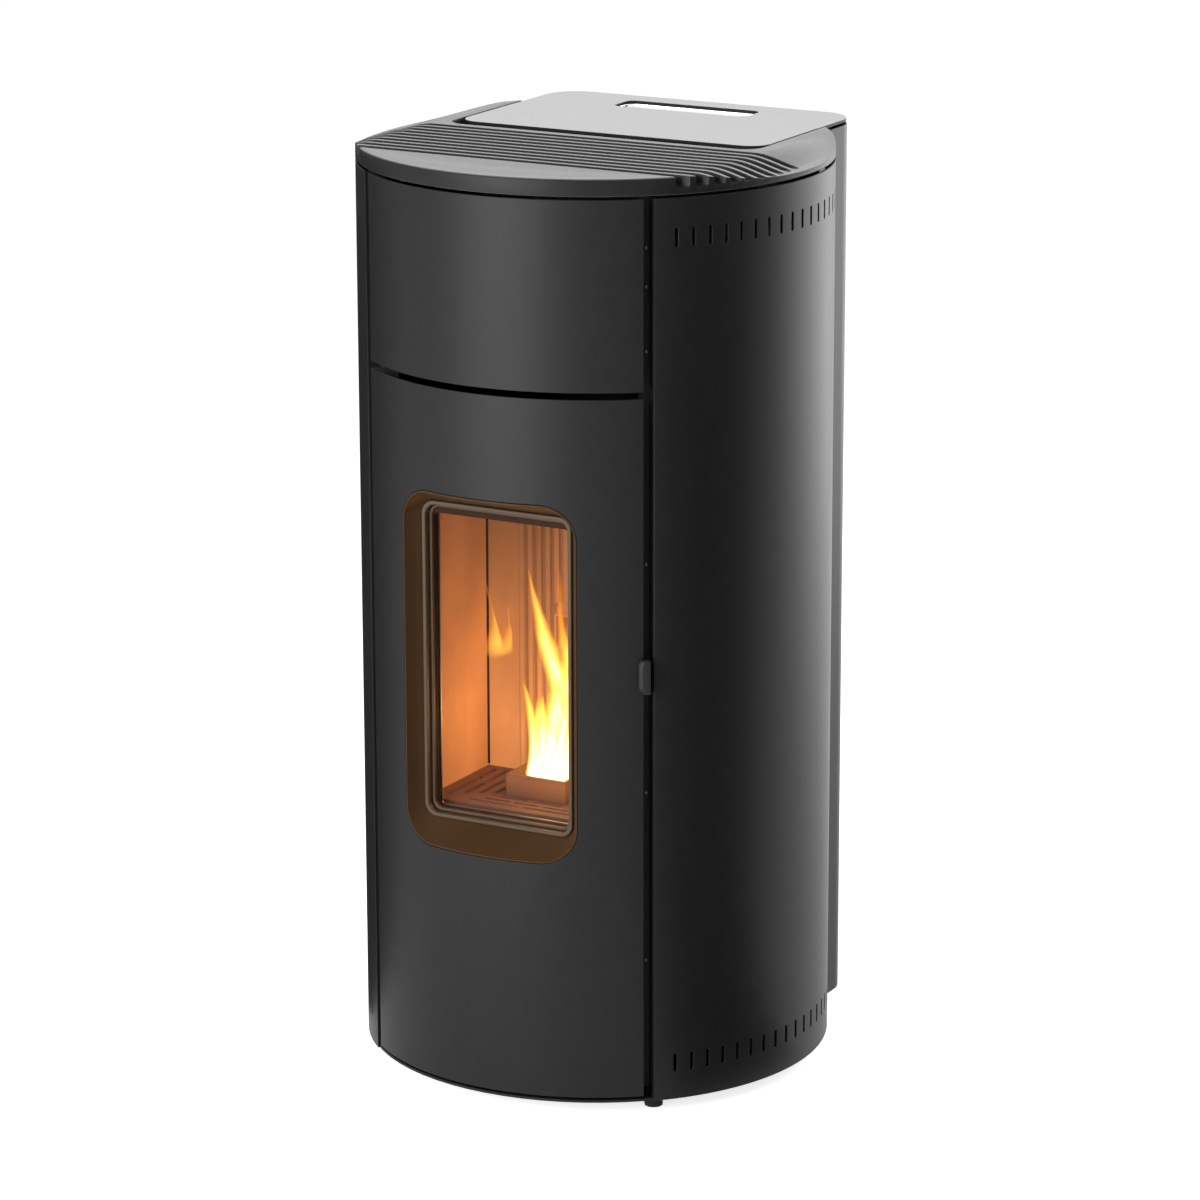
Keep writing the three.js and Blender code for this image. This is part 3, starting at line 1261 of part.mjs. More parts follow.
// The grate's slots run round the pot like the sides of a picture frame.
function fireGrate() {
  const half = FIREBOX_HALF_WIDTH - LINER_THICKNESS - 1.5;
  const front = linerFront + 1;
  const plate = box([-half, half], [front, ribFace - 1], [GRATE_BOTTOM, GRATE_TOP]);
  const through = [GRATE_BOTTOM - 1, GRATE_TOP + 1];
  const pot = box(widen(potOuterX, GRATE_HOLE_GAP), widen(potOuterY, GRATE_HOLE_GAP), through);
  const slot = GRATE_SLOT;
  const cutters = [];
  for (let i = 0; i < GRATE_RINGS; i += 1) {
    const y = -POT_FRONT - 9 - i * 12;
    const reach = POT_HALF_WIDTH + 4 + i * 15;
    const bays = 2 + (i % 2);
    const length = (2 * reach) / bays;
    for (let k = 0; k < bays; k += 1) {
      const x = -reach + k * length;
      cutters.push(box([x + 3, x + length - 3], [y - slot, y], through));
    }
  }
  const sideRoom = half - POT_HALF_WIDTH - 2 * slot - GRATE_SIDE_PITCH;
  const sideSlots = 1 + Math.floor(sideRoom / GRATE_SIDE_PITCH);
  for (const side of [-1, 1]) {
    for (let i = 0; i < sideSlots; i += 1) {
      const x = POT_HALF_WIDTH + 2 * slot + i * GRATE_SIDE_PITCH;
      const low = -POT_FRONT - i * 10;
      const middle = -POT_FRONT + 30 + (i % 2) * 22;
      const span = [side * x, side * (x + slot + 2)].sort((a, b) => a - b);
      cutters.push(box(span, [low, middle - 3], through));
      cutters.push(box(span, [middle + 3, ribFace - 12], through));
    }
  }
  return cut(plate, pot, ...cutters);
}
place('fire_grate', fireGrate(), castIron);

function burnPot() {
  const block = box(potOuterX, potOuterY, [POT_BOTTOM, POT_TOP]);
  const x = widen(potOuterX, -POT_WALL);
  const y = widen(potOuterY, -POT_WALL);
  const floorTop = FIREBOX_FLOOR - POT_FLOOR_DROP + POT_WALL;
  const fire = box(x, y, [floorTop, POT_TOP + 1]);
  const skirt = box(x, y, [POT_BOTTOM - 1, floorTop - POT_WALL]);
  const holes = [];
  for (let i = 0; i < 3; i += 1) {
    for (let k = 0; k < 3; k += 1) {
      const hx = (i - 1) * 20;
      const hy = (potOuterY[0] + potOuterY[1]) / 2 + (k - 1) * 20;
      holes.push(box([hx - 4, hx + 4], [hy - 4, hy + 4], [POT_BOTTOM, floorTop + 1]));
    }
  }
  return cut(block, fire, skirt, ...holes);
}
place('burn_pot', burnPot(), castIron);

function potHolder() {
  const grow = HOLDER_GAP;
  const top = FLOOR_UNDERSIDE - GAP;
  const bottom = HOLDER_BOTTOM;
  const outer = box(widen(potOuterX, grow + HOLDER_WALL), widen(potOuterY, grow + HOLDER_WALL),
    [bottom, top]);
  const inner = box(widen(potOuterX, grow), widen(potOuterY, grow), [bottom + HOLDER_WALL, top + 1]);
  const rear = [-POT_REAR + grow - 1, -POT_REAR + grow + HOLDER_WALL + 1];
  const air = cylinderY(AIR_X, AIR_HEIGHT, AIR_RADIUS - DUCT_WALL, ...rear, 5);
  const spark = cylinderY(IGNITER_X, igniterZ, IGNITER_RADIUS + GAP, ...rear, 4);
  return cut(outer, inner, air, spark);
}
const igniterZ = (POT_BOTTOM + FIREBOX_FLOOR - POT_FLOOR_DROP) / 2;
place('pot_holder', potHolder(), castIron);

function igniter() {
  const front = 1 - POT_REAR;
  const head = [front + IGNITER_HEAD_START, front + IGNITER_HEAD_START + IGNITER_HEAD_LENGTH];
  const rod = cylinderY(IGNITER_X, igniterZ, IGNITER_RADIUS, front, front + IGNITER_LENGTH, 4);
  const collar = cylinderY(IGNITER_X, igniterZ, IGNITER_RADIUS + IGNITER_HEAD_RIM, ...head, 3);
  return join(rod, collar);
}
place('igniter', igniter(), steel);

function fireboxStand() {
  const half = FIREBOX_HALF_WIDTH + FIREBOX_WALL;
  const sheet = STAND_SHEET;
  const y = [FIREBOX_FRONT + STAND_FRONT_ROOM, -FIREBOX_REAR - STAND_REAR_ROOM];
  const top = FLOOR_UNDERSIDE - GAP;
  const floor = box([-half, half], y, [BASE_TOP + GAP, BASE_TOP + GAP + sheet]);
  const parts = [floor];
  for (const side of [-1, 1]) {
    const wall = [side * half, side * (half - sheet)].sort((a, b) => a - b);
    const ledge = [side * half, side * (half - STAND_LEDGE)].sort((a, b) => a - b);
    parts.push(box(wall, y, [BASE_TOP + GAP, top]));
    parts.push(box(ledge, y, [DRAWER_BOTTOM - GAP - sheet, DRAWER_BOTTOM - GAP]));
  }
  return join(...parts);
}
place('firebox_stand', fireboxStand(), deepBlack);

const drawerFront = FIREBOX_FRONT + 1;
function ashDrawer() {
  const t = DRAWER_SHEET;
  const half = FIREBOX_HALF_WIDTH - DRAWER_SIDE_ROOM;
  const z = [DRAWER_BOTTOM, DRAWER_BOTTOM + DRAWER_HEIGHT];
  const y = [drawerFront + t, drawerFront + t + DRAWER_DEPTH];
  const tray = box([-half, half], y, z);
  const hollow = box([t - half, half - t], [y[0] + t, y[1] - t], [z[0] + t, z[1] + 1]);
  const front = box(widen([-half, half], DRAWER_FRONT_LAP), [drawerFront, drawerFront + t + 1],
    [z[0] - DRAWER_FRONT_DROP, z[1] + DRAWER_FRONT_RISE]);
  const middle = (z[0] + z[1]) / 2;
  const gripX = [-DRAWER_GRIP_HALF_WIDTH, DRAWER_GRIP_HALF_WIDTH];
  const gripZ = widen([middle, middle], DRAWER_GRIP_HEIGHT / 2);
  const grip = cut(
    box(gripX, [drawerFront - DRAWER_GRIP_REACH, drawerFront + 1], gripZ),
    box(widen(gripX, -DRAWER_GRIP_WALL), [drawerFront - DRAWER_GRIP_ROOM, drawerFront],
      widen(gripZ, 1)),
  );
  return join(cut(join(tray, front), hollow), grip);
}
place('ash_drawer', ashDrawer(), galvanised);

// ---------------------------------------------------------------- fire door

function doorSkin() {
  const sheet = prismZ(
    arcBand(INNER_RADIUS, CASING_RADIUS, -DOOR_HALF_ANGLE, DOOR_HALF_ANGLE),
    DOOR_BOTTOM,
    DOOR_TOP,
    16,
  );
  const window = prismY(
    rectangle([-WINDOW_HALF_WIDTH, WINDOW_HALF_WIDTH],
      [RECESS_MIDDLE - WINDOW_HALF_HEIGHT, RECESS_MIDDLE + WINDOW_HALF_HEIGHT],
      WINDOW_CORNER),
    -CASING_RADIUS - 2,
    -CASING_RADIUS / 2,
    3,
  );
  return cut(sheet, window);
}
place('door_skin', doorSkin(), blackPaint);

function windowSurround() {
  const mouth = (inset) =>
    frameOutline(WINDOW_HALF_WIDTH - inset, RECESS_MIDDLE, WINDOW_HALF_HEIGHT - inset,
      WINDOW_CORNER - inset, 4, 6).map(([x, z]) => {
      const radius = CASING_RADIUS - GAP;
      return [x, -Math.sqrt(radius * radius - x * x), z];
    });
  const throat = (grow) =>
    frameOutline(GLASS_FRAME_HALF_WIDTH + grow, WINDOW_MIDDLE,
      GLASS_FRAME_HALF_HEIGHT + grow, GLASS_FRAME_CORNER + grow, 4, 6)
      .map(([x, z]) => [x, GLASS_FRAME_FACE + SURROUND_SETBACK, z]);
  const edge = GAP + 0.5;
  return ringSkin([
    mouth(edge + SURROUND_WALL),
    throat(GAP),
    throat(GAP + SURROUND_WALL),
    mouth(edge),
  ]);
}
place('window_surround', windowSurround(), surroundPaint);

// Two steps run round the frame: a wide outer bead and a narrower one set deeper.
function glassFrame() {
  const face = GLASS_FRAME_FACE;
  const deep = face + BEAD_DROP;
  const back = face + GLASS_FRAME_DEPTH;
  const profile = [
    [0, back],
    [0, face + 1],
    [1, face],
    [BEAD_WIDTH - 1, face],
    [BEAD_WIDTH, face + 1],
    [BEAD_WIDTH, deep + 1],
    [BEAD_WIDTH + 1, deep],
    [frameInset - 1, deep],
    [frameInset, deep + 1],
    [frameInset, back],
  ];
  return ringSkin(profile.map(([inset, y]) =>
    frameOutline(GLASS_FRAME_HALF_WIDTH - inset, WINDOW_MIDDLE, GLASS_FRAME_HALF_HEIGHT - inset,
      Math.max(GLASS_FRAME_CORNER - 0.6 * inset, 3), 3).map(([x, z]) => [x, y, z]),
  ));
}
const frameInset = BEAD_WIDTH + INNER_BEAD_WIDTH;
place('glass_frame', glassFrame(), frameFinish);

const openingX = [frameInset - GLASS_FRAME_HALF_WIDTH, GLASS_FRAME_HALF_WIDTH - frameInset];
const openingZ = [
  WINDOW_MIDDLE - GLASS_FRAME_HALF_HEIGHT + frameInset,
  WINDOW_MIDDLE + GLASS_FRAME_HALF_HEIGHT - frameInset - LINTEL_OVERHANG,
];

// An upright plate with a rectangular opening, between two depths.
function uprightRing(outerX, outerZ, corner, y0, y1) {
  return cut(
    prismY(rectangle(outerX, outerZ, corner), y0, y1, 2),
    prismY(rectangle(openingX, openingZ, corner / 2), y0 - 1, y1 + 1, 2),
  );
}
const plateX = widen([0, 0], PLATE_HALF_WIDTH);
const plateZ = widen([WINDOW_MIDDLE, WINDOW_MIDDLE], GLASS_FRAME_HALF_HEIGHT + DOOR_PLATE_MARGIN);
place('door_frame', uprightRing(plateX, plateZ, 12, PLATE_FRONT, PLATE_REAR), castIron);
place(
  'door_glass',
  prismY(
    rectangle(widen(openingX, GLASS_OVERLAP), widen(openingZ, GLASS_OVERLAP), 6),
    GLASS_FRONT,
    GLASS_REAR,
    2,
  ),
  ceramicGlass,
);
place(
  'glass_clamp',
  uprightRing(widen(openingX, CLAMP_WIDTH), widen(openingZ, CLAMP_WIDTH), 6,
    GLASS_REAR + GAP, GLASS_REAR + GAP + CLAMP_THICKNESS),
  steel,
);

function doorGasket() {
  const sides = 8;
  const rings = [];
  for (let i = 0; i < sides; i += 1) {
    const angle = ((i + 0.5) / sides) * 2 * Math.PI;
    const reach = GASKET_RADIUS * Math.cos(angle);
    const y = GASKET_Y + GASKET_RADIUS * Math.sin(angle);
    rings.push(frameOutline(GASKET_HALF_WIDTH + reach, WINDOW_MIDDLE,
      GASKET_HALF_HEIGHT + reach, 14 + reach, 3).map(([x, z]) => [x, y, z]));
  }
  return ringSkin(rings);
}
place('door_gasket', doorGasket(), gasketRope);

function pivotBlock(z0, z1) {
  const inner = PIVOT_RADIUS - PIVOT_BLOCK_WALL - PIN_RADIUS;
  const block = prismZ(
    arcBand(inner, INNER_RADIUS - GAP, -DOOR_HALF_ANGLE + 0.2, PIVOT_ANGLE + 4.4),
    z0,
    z1,
    2,
  );
  return cut(block, cylinderZ(...pivot, PIN_RADIUS + RUNNING_GAP, z0 - 1, z1 + 1));
}
place('door_pivot_upper', pivotBlock(DOOR_TOP - PIVOT_BLOCK_HEIGHT, DOOR_TOP - GAP), steel);
place('door_pivot_lower', pivotBlock(DOOR_BOTTOM + GAP, DOOR_BOTTOM + PIVOT_BLOCK_HEIGHT), steel);

// The latch handle: a chamfered grip outside the skin and an arm through the seam.
function latchHandle() {
  const grip = polygon([
    [-11, -CASING_RADIUS - 1],
    [-11, -CASING_RADIUS - 8],
    [-8, -CASING_RADIUS - 11],
    [2, -CASING_RADIUS - 11],
    [2, -CASING_RADIUS - 1],
  ]);
  const z = [LATCH_MIDDLE - LATCH_LENGTH / 2, LATCH_MIDDLE + LATCH_LENGTH / 2];
  const bar = prismZ(grip, ...z);
  const arm = box([-1, 1], [-CASING_RADIUS - 2, LATCH_ARM_REACH - LATCH_PIVOT_RADIUS],
    widen(z, -LATCH_ARM_MARGIN));
  const cornerCut = (edge, sign) =>
    prismY(polygon([[-12, edge - sign * 6], [-5, edge + sign], [-12, edge + sign]]),
      -CASING_RADIUS - 13, -CASING_RADIUS);
  const top = cornerCut(z[1], 1);
  const bottom = cornerCut(z[0], -1);
  return cut(join(bar, arm), top, bottom).rotate([0, 0, LATCH_ANGLE]);
}
place('latch_handle', latchHandle(), frameFinish);

// ---------------------------------------------------------------- smoke path

const ductRear = FAN_FRONT - GAP;
function smokeDuct() {
  const x = [FAN_X - DUCT_HALF_WIDTH, FAN_X + DUCT_HALF_WIDTH];
  const z = [FAN_HEIGHT - DUCT_HALF_WIDTH - 5, smokeZ[1] + 10];
  const outer = box(x, [JACKET_BACK, ductRear], z);
  const inner = box(widen(x, -DUCT_WALL), [JACKET_BACK + DUCT_WALL, ductRear - DUCT_WALL],
    widen(z, -DUCT_WALL));
  const inlet = box(smokeX, [JACKET_BACK - 1, JACKET_BACK + DUCT_WALL + 1], smokeZ);
  const outlet = cylinderY(FAN_X, FAN_HEIGHT, FAN_INLET_RADIUS, ductRear - DUCT_WALL - 1, ductRear + 1,
    6);
  return cut(outer, inner, inlet, outlet);
}
place('smoke_duct', smokeDuct(), galvanised);

const fanY = [FAN_FRONT, FAN_FRONT + FAN_DEPTH];
const outletHalf = FLUE_RADIUS + 3;
function fanHousing() {
  const t = DUCT_WALL;
  const innerY = [fanY[0] + t, fanY[1] - t];
  const scroll = cylinderY(FAN_X, FAN_HEIGHT, FAN_RADIUS, ...fanY, 10);
  const scrollBore = cylinderY(FAN_X, FAN_HEIGHT, FAN_RADIUS - t, ...innerY, 10);
  const exitZ = [FLUE_HEIGHT - outletHalf, FLUE_HEIGHT + outletHalf];
  const exit = box([FAN_X, outletHalf], fanY, exitZ);
  const exitBore = box([FAN_X, outletHalf - t], innerY, widen(exitZ, -t));
  const inlet = cylinderY(FAN_X, FAN_HEIGHT, FAN_INLET_RADIUS, fanY[0] - 1, fanY[0] + t + 1, 6);
  const shaftHole = FAN_SHAFT_RADIUS + RUNNING_GAP;
  const shaft = cylinderY(FAN_X, FAN_HEIGHT, shaftHole, fanY[1] - t - 1, fanY[1] + 1, 6);
  const flue = cylinderY(0, FLUE_HEIGHT, FLUE_RADIUS - FLUE_WALL, fanY[1] - t - 1, fanY[1] + 1, 10);
  return cut(join(scroll, exit), scrollBore, exitBore, inlet, shaft, flue);
}
place('flue_fan_housing', fanHousing(), galvanised);

function fanImpeller() {
  const rear = fanY[1] - IMPELLER_ROOM;
  const disk = cylinderY(FAN_X, FAN_HEIGHT, IMPELLER_RADIUS, rear - IMPELLER_THICKNESS, rear, 10);
  const shaft = cylinderY(FAN_X, FAN_HEIGHT, FAN_SHAFT_RADIUS, fanY[0] + 20, fanY[1] + 18, 6);
  const vanes = [];
  const count = 8;
  for (let i = 0; i < count; i += 1) {
    const vane = box([IMPELLER_EYE, IMPELLER_RADIUS - 2], [fanY[0] + 10, rear - 2], [-1, 1]);
    vanes.push(vane.rotate([0, (i * 360) / count, 0]).translate([FAN_X, 0, FAN_HEIGHT]));
  }
  return join(disk, shaft, ...vanes);
}
place('flue_fan_impeller', fanImpeller(), steel);

function fanMotor() {
  const y = [fanY[1] + GAP, fanY[1] + FAN_MOTOR_LENGTH];
  const body = cylinderY(FAN_X, FAN_HEIGHT, FAN_MOTOR_RADIUS, y[0] + 4, y[1], 8);
  const flange = cylinderY(FAN_X, FAN_HEIGHT, FAN_MOTOR_RADIUS + 8, y[0], y[0] + 5, 8);
  const shaftHole = FAN_SHAFT_RADIUS + RUNNING_GAP;
  const bore = cylinderY(FAN_X, FAN_HEIGHT, shaftHole, y[0] - 1, fanY[1] + 20, 6);
  return cut(join(body, flange), bore);
}
place('flue_fan_motor', fanMotor(), steel);

function flueOutlet() {
  const y = [fanY[1] + GAP, FLUE_REACH];
  const tube = cylinderY(0, FLUE_HEIGHT, FLUE_RADIUS, ...y, 12);
  const bead = cylinderY(0, FLUE_HEIGHT, FLUE_RADIUS + FLUE_BEAD, FLUE_REACH - 24, FLUE_REACH - 18,
    12);
  const bore = cylinderY(0, FLUE_HEIGHT, FLUE_RADIUS - FLUE_WALL, y[0] - 1, y[1] + 1, 12);
  return cut(join(tube, bead), bore);
}
place('flue_outlet', flueOutlet(), blackPaint);

// ---------------------------------------------------------------- combustion air and water

const airFront = -POT_REAR + HOLDER_GAP + HOLDER_WALL + GAP;
const airRear = REAR_FACE + AIR_STUB;
place(
  'air_inlet_pipe',
  cut(
    cylinderY(AIR_X, AIR_HEIGHT, AIR_RADIUS, airFront, airRear, 6),
    cylinderY(AIR_X, AIR_HEIGHT, AIR_RADIUS - DUCT_WALL, airFront - 1, airRear + 1, 6),
  ),
  galvanised,
);

const flowTap = FIREBOX_TOP - FLOW_TAP_DROP;
const riserY = JACKET_BACK + FLOW_STANDOFF;
place(
  'flow_pipe',
  pipe([
    [FLOW_X, JACKET_BACK, flowTap],
    [FLOW_X, riserY - FLOW_BEND, flowTap],
    [FLOW_X, riserY, flowTap - FLOW_BEND],
    [FLOW_X, riserY, WATER_HEIGHT + 2 * FLOW_BEND],
    [FLOW_X, riserY + FLOW_BEND / 2, WATER_HEIGHT + FLOW_BEND / 2],
    [FLOW_X, riserY + 2 * FLOW_BEND, WATER_HEIGHT],
    [FLOW_X, PIPE_REACH, WATER_HEIGHT],
  ], PIPE_RADIUS, PIPE_BORE, 8, 16),
  brass,
);

const pumpY = [PUMP_FRONT, PUMP_FRONT + PUMP_LENGTH];
place(
  'return_pipe',
  cut(
    cylinderY(RETURN_X, WATER_HEIGHT, PIPE_RADIUS, pumpY[1] + GAP, PIPE_REACH, 4),
    cylinderY(RETURN_X, WATER_HEIGHT, PIPE_BORE, pumpY[1] - 1, PIPE_REACH + 1, 4),
  ),
  brass,
);

function circulationPump() {
  const half = PUMP_HALF_WIDTH;
  const body = box([RETURN_X - half, RETURN_X + half], pumpY,
    [WATER_HEIGHT - half, WATER_HEIGHT + half]);
  const rotor = cylinderZ(RETURN_X, (pumpY[0] + pumpY[1]) / 2, PUMP_ROTOR_RADIUS,
    WATER_HEIGHT + half - 4, WATER_HEIGHT + half + PUMP_ROTOR_HEIGHT - 4, 8);
  const bore = cylinderY(RETURN_X, WATER_HEIGHT, PIPE_BORE, pumpY[0] - 1, pumpY[1] + 1, 4);
  const stub = cylinderY(RETURN_X, WATER_HEIGHT, PIPE_RADIUS, pumpY[0] - 20, pumpY[0] + 1, 4);
  const stubBore = cylinderY(RETURN_X, WATER_HEIGHT, PIPE_BORE, pumpY[0] - 21, pumpY[0] + 2, 4);
  return cut(join(body, rotor, stub), bore, stubBore);
}
place('circulation_pump', circulationPump(), castIron);

function expansionVessel() {
  const depth = VESSEL_DEPTH;
  const radius = VESSEL_RADIUS;
  const geometry = turned([
    [0, 0],
    [radius - 24, 0],
    [radius - 6, depth / 2 - 18],
    [radius, depth / 2 - 4],
    [radius, depth / 2 + 4],
    [radius - 6, depth / 2 + 18],
    [radius - 24, depth],
    [0, depth],
  ], 24);
  geometry.rotateY(Math.PI / 2);
  geometry.translate(JACKET_HALF_WIDTH + GAP, VESSEL_Y, VESSEL_HEIGHT);
  return toSolid(geometry);
}
place('expansion_vessel', expansionVessel(), redPaint);

place(
  'control_box',
  prismX(
    rectangle(widen([CONTROL_Y, CONTROL_Y], CONTROL_LENGTH / 2),
      widen([CONTROL_MIDDLE, CONTROL_MIDDLE], CONTROL_HEIGHT / 2), 8),
    -JACKET_HALF_WIDTH - CONTROL_DEPTH,
    -JACKET_HALF_WIDTH - GAP,
    2,
  ),
  darkPlastic,
);

export default stove;
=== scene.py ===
import math

import bmesh
import bpy
from mathutils import Matrix, Vector

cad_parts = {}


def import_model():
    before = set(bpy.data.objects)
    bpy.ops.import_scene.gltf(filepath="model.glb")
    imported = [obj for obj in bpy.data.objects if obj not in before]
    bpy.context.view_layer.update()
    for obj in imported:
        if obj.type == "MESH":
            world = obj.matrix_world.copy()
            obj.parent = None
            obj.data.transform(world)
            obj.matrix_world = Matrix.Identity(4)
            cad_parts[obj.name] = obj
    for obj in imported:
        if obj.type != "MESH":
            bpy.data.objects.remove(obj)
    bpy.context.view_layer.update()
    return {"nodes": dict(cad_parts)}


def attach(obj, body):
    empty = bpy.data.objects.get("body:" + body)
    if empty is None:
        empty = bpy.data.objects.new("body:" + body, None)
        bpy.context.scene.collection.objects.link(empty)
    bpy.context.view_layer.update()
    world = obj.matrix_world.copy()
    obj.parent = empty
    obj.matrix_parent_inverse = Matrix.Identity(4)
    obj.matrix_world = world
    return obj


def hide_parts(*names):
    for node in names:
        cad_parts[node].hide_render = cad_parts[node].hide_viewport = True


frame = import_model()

# Lengths are in millimetres and angles in degrees until row() turns a point into metres.
# The casing's axis is x = 0, y = 0 here, and the front faces -Y.

MM = 0.001
CASING_AXIS_Y = -20  # casing's axis in the row frame

# casing
CASING_RADIUS = 280
SHEET = 2
EDGE_ROUND = 0.7
PANEL_BOTTOM = 16
PANEL_TOP = 1085.3
SIDE_START = 42.3
SIDE_END = 132
DOOR_HALF_ANGLE = 39.9
DOOR_BOTTOM = 23
DOOR_TOP = 857.6
UPPER_PANEL_BOTTOM = 865.3
COLUMN_ANGLE = 1.5
FOLD_INNER_RADIUS = 259.3
FOLD_BOTTOM = 19.3

# vent slots
SLOT_COUNT = 17
SLOT_FIRST = 47.7
SLOT_PITCH = 4.27
SLOT_WIDTH = 4
SLOT_HEIGHT = 22
SLOT_EDGE_DISTANCE = 45

# rear box; each pipe has its x, z and radius
REAR_FACE = 284
REAR_HALF_WIDTH = CASING_RADIUS * math.sin(math.radians(SIDE_END)) - 5
REAR_CORNER = 42
COVER_FRONT = -CASING_RADIUS * math.cos(math.radians(SIDE_END)) - 10
COVER_TOP = 1102
FLUE = (0, 190, 40)
AIR = (24, 305, 17)
FLOW = (REAR_HALF_WIDTH - 93, 110, 12)
RETURN = (REAR_HALF_WIDTH - 53, 110, 12)
INLET_X = (38 - REAR_HALF_WIDTH, 68 - REAR_HALF_WIDTH)
INLET_Z = (80, 150)
INLET_GAP = 0.3

# top slab
TOP_FACE = 1109
SLAB_BOTTOM = 1089
SLAB_EDGE = 3
GROOVE_COUNT = 10
GROOVE_FIRST = 91 - CASING_RADIUS
GROOVE_PITCH = 18.6
GROOVE_WIDTH = 12.6
GROOVE_DEPTH = 13
GROOVE_FILLET = 2.5
SHOULDER_WIDTH = 67
SHOULDER_DROP = 14
WELL_FRONT = 3
WELL_HALF_WIDTH = REAR_HALF_WIDTH + 3
LID_CORNER = 25

# hopper lid
LID_HALF_WIDTH = WELL_HALF_WIDTH - 4
LID_FRONT = 27
LID_THICKNESS = 4
PULL_HALF_LENGTH = 90
PULL_FRONT = 204
PULL_WIDTH = 47
PULL_CORNER = 12
PULL_DEPTH = 6
PULL_SHEET = 2

# window
WINDOW_MIDDLE = 524
WINDOW_HALF_WIDTH = 115
RECESS_MIDDLE = 521
WINDOW_HALF_HEIGHT = 213.5
WINDOW_CORNER = 42
FRAME_FACE = -240
FRAME_HALF_WIDTH = 99
FRAME_HALF_HEIGHT = 191
FRAME_CORNER = 16
FRAME_DEPTH = 12
BEAD_WIDTH = 5
BEAD_DROP = 8.4
BEAD_ROUND = 1.6
BEAD_GAP = 0.7
INNER_BEAD_ROUND = 1.2
FRAME_INSET = 9
SURROUND_SETBACK = 4
SURROUND_WALL = 1.5
SURROUND_GAP = 0.8  # to the door's skin
SURROUND_BULGE = 0.06  # share of the depth

# firebox
FIREBOX_HALF_WIDTH = 126
LINER_TOP = 682
GRATE_TOP = 342
JOINT_FRONT = -55.2
JOINT_BACK = -52.5
JOINT_WIDTH = 5.5

# latch
LATCH_ANGLE = 40.7
LATCH_MIDDLE = 534
LATCH_LENGTH = 40
LATCH_REACH = 11
LATCH_SIDE = 11
LATCH_ARM_HALF_HEIGHT = 12
LATCH_ARM_Y = (-281.5, -264)

# screws and feet
SEAM_SCREW_PLACE = (259, 41.5)  # radius and angle
SEAM_SCREW_HEIGHTS = (1027, 982, 908, 660, 388, 184)
COVER_SCREW_X = 150
COVER_SCREW_HEIGHTS = (62, 395, 728, 1060)
FRONT_FOOT_PLACE = (250, 44)  # radius and angle
REAR_FOOT_X = REAR_HALF_WIDTH - 63
REAR_FOOT_Y = 215

# camera, fitted to the casing's edges; pitch, yaw and roll are in radians
CAMERA_AZIMUTH = 28.85
CAMERA_DISTANCE = 5655.6
CAMERA_HEIGHT = 2079.1
CAMERA_PITCH = 0.2641  # downwards
CAMERA_YAW = 0.0007
CAMERA_ROLL = -0.0025
CAMERA_LENS = 147.1

# studio
FIRE_PLACE = (6, -118, 430)
FLOOR_GLOW = 0.75
SCREEN_SKIRT = 320
SCREEN_RADIUS = 820
SCREEN_TOP = 1080
SCREEN_STEPS = 12


def row(x, y, z):
    """A point in the row frame, in metres."""
    return Vector((x * MM, (y + CASING_AXIS_Y) * MM, z * MM))


def polar(radius, angle):
    """A plan point at a radius and an angle from the front, positive towards +X."""
    return radius * math.sin(math.radians(angle)), -radius * math.cos(math.radians(angle))


def link(name, data):
    """Puts data into the scene as a new object."""
    made = bpy.data.objects.new(name, data)
    bpy.context.scene.collection.objects.link(made)
    return made


# ---------------------------------------------------------------- materials


def material(name):
    """A new node material with its nodes, links and main shader."""
    made = bpy.data.materials.new(name)
    made.use_nodes = True
    nodes = made.node_tree.nodes
    return made, nodes, made.node_tree.links, nodes["Principled BSDF"]


def object_noise(nodes, links, scale, detail, stretch=(1, 1, 1)):
    """Noise fixed to the piece, scale in cycles per metre."""
    place = nodes.new("ShaderNodeTexCoord")
    mapping = nodes.new("ShaderNodeMapping")
    mapping.inputs["Scale"].default_value = stretch
    noise = nodes.new("ShaderNodeTexNoise")
    noise.inputs["Scale"].default_value = scale
    noise.inputs["Detail"].default_value = detail
    links.new(place.outputs["Object"], mapping.inputs["Vector"])
    links.new(mapping.outputs["Vector"], noise.inputs["Vector"])
    return noise


def ramp(nodes, links, source, stops):
    """A colour ramp driven by a factor."""
    made = nodes.new("ShaderNodeValToRGB")
    elements = made.color_ramp.elements
    while len(elements) < len(stops):
        elements.new(0.5)
    for element, (position, colour) in zip(elements, stops):
        element.position = position
        element.color = (*colour, 1)
    links.new(source, made.inputs["Fac"])
    return made


def number_range(nodes, links, source, low, high, start=0.0, end=1.0):
    """A value that runs from low to high while its source runs from start to end."""
    made = nodes.new("ShaderNodeMapRange")
    made.inputs["From Min"].default_value = start
    made.inputs["From Max"].default_value = end
    made.inputs["To Min"].default_value = low
    made.inputs["To Max"].default_value = high
    links.new(source, made.inputs["Value"])
    return made.outputs["Result"]


def math_node(nodes, links, operation, first, second=None):
    """The result of a calculation on one value or two; the second may be a number."""
    made = nodes.new("ShaderNodeMath")
    made.operation = operation
    links.new(first, made.inputs[0])
    if isinstance(second, (int, float)):
        made.inputs[1].default_value = second
    elif second:
        links.new(second, made.inputs[1])
    return made.outputs["Value"]


def shade(colour, factor):
    """A colour made lighter or darker."""
    return tuple(min(1.0, c * factor) for c in colour)


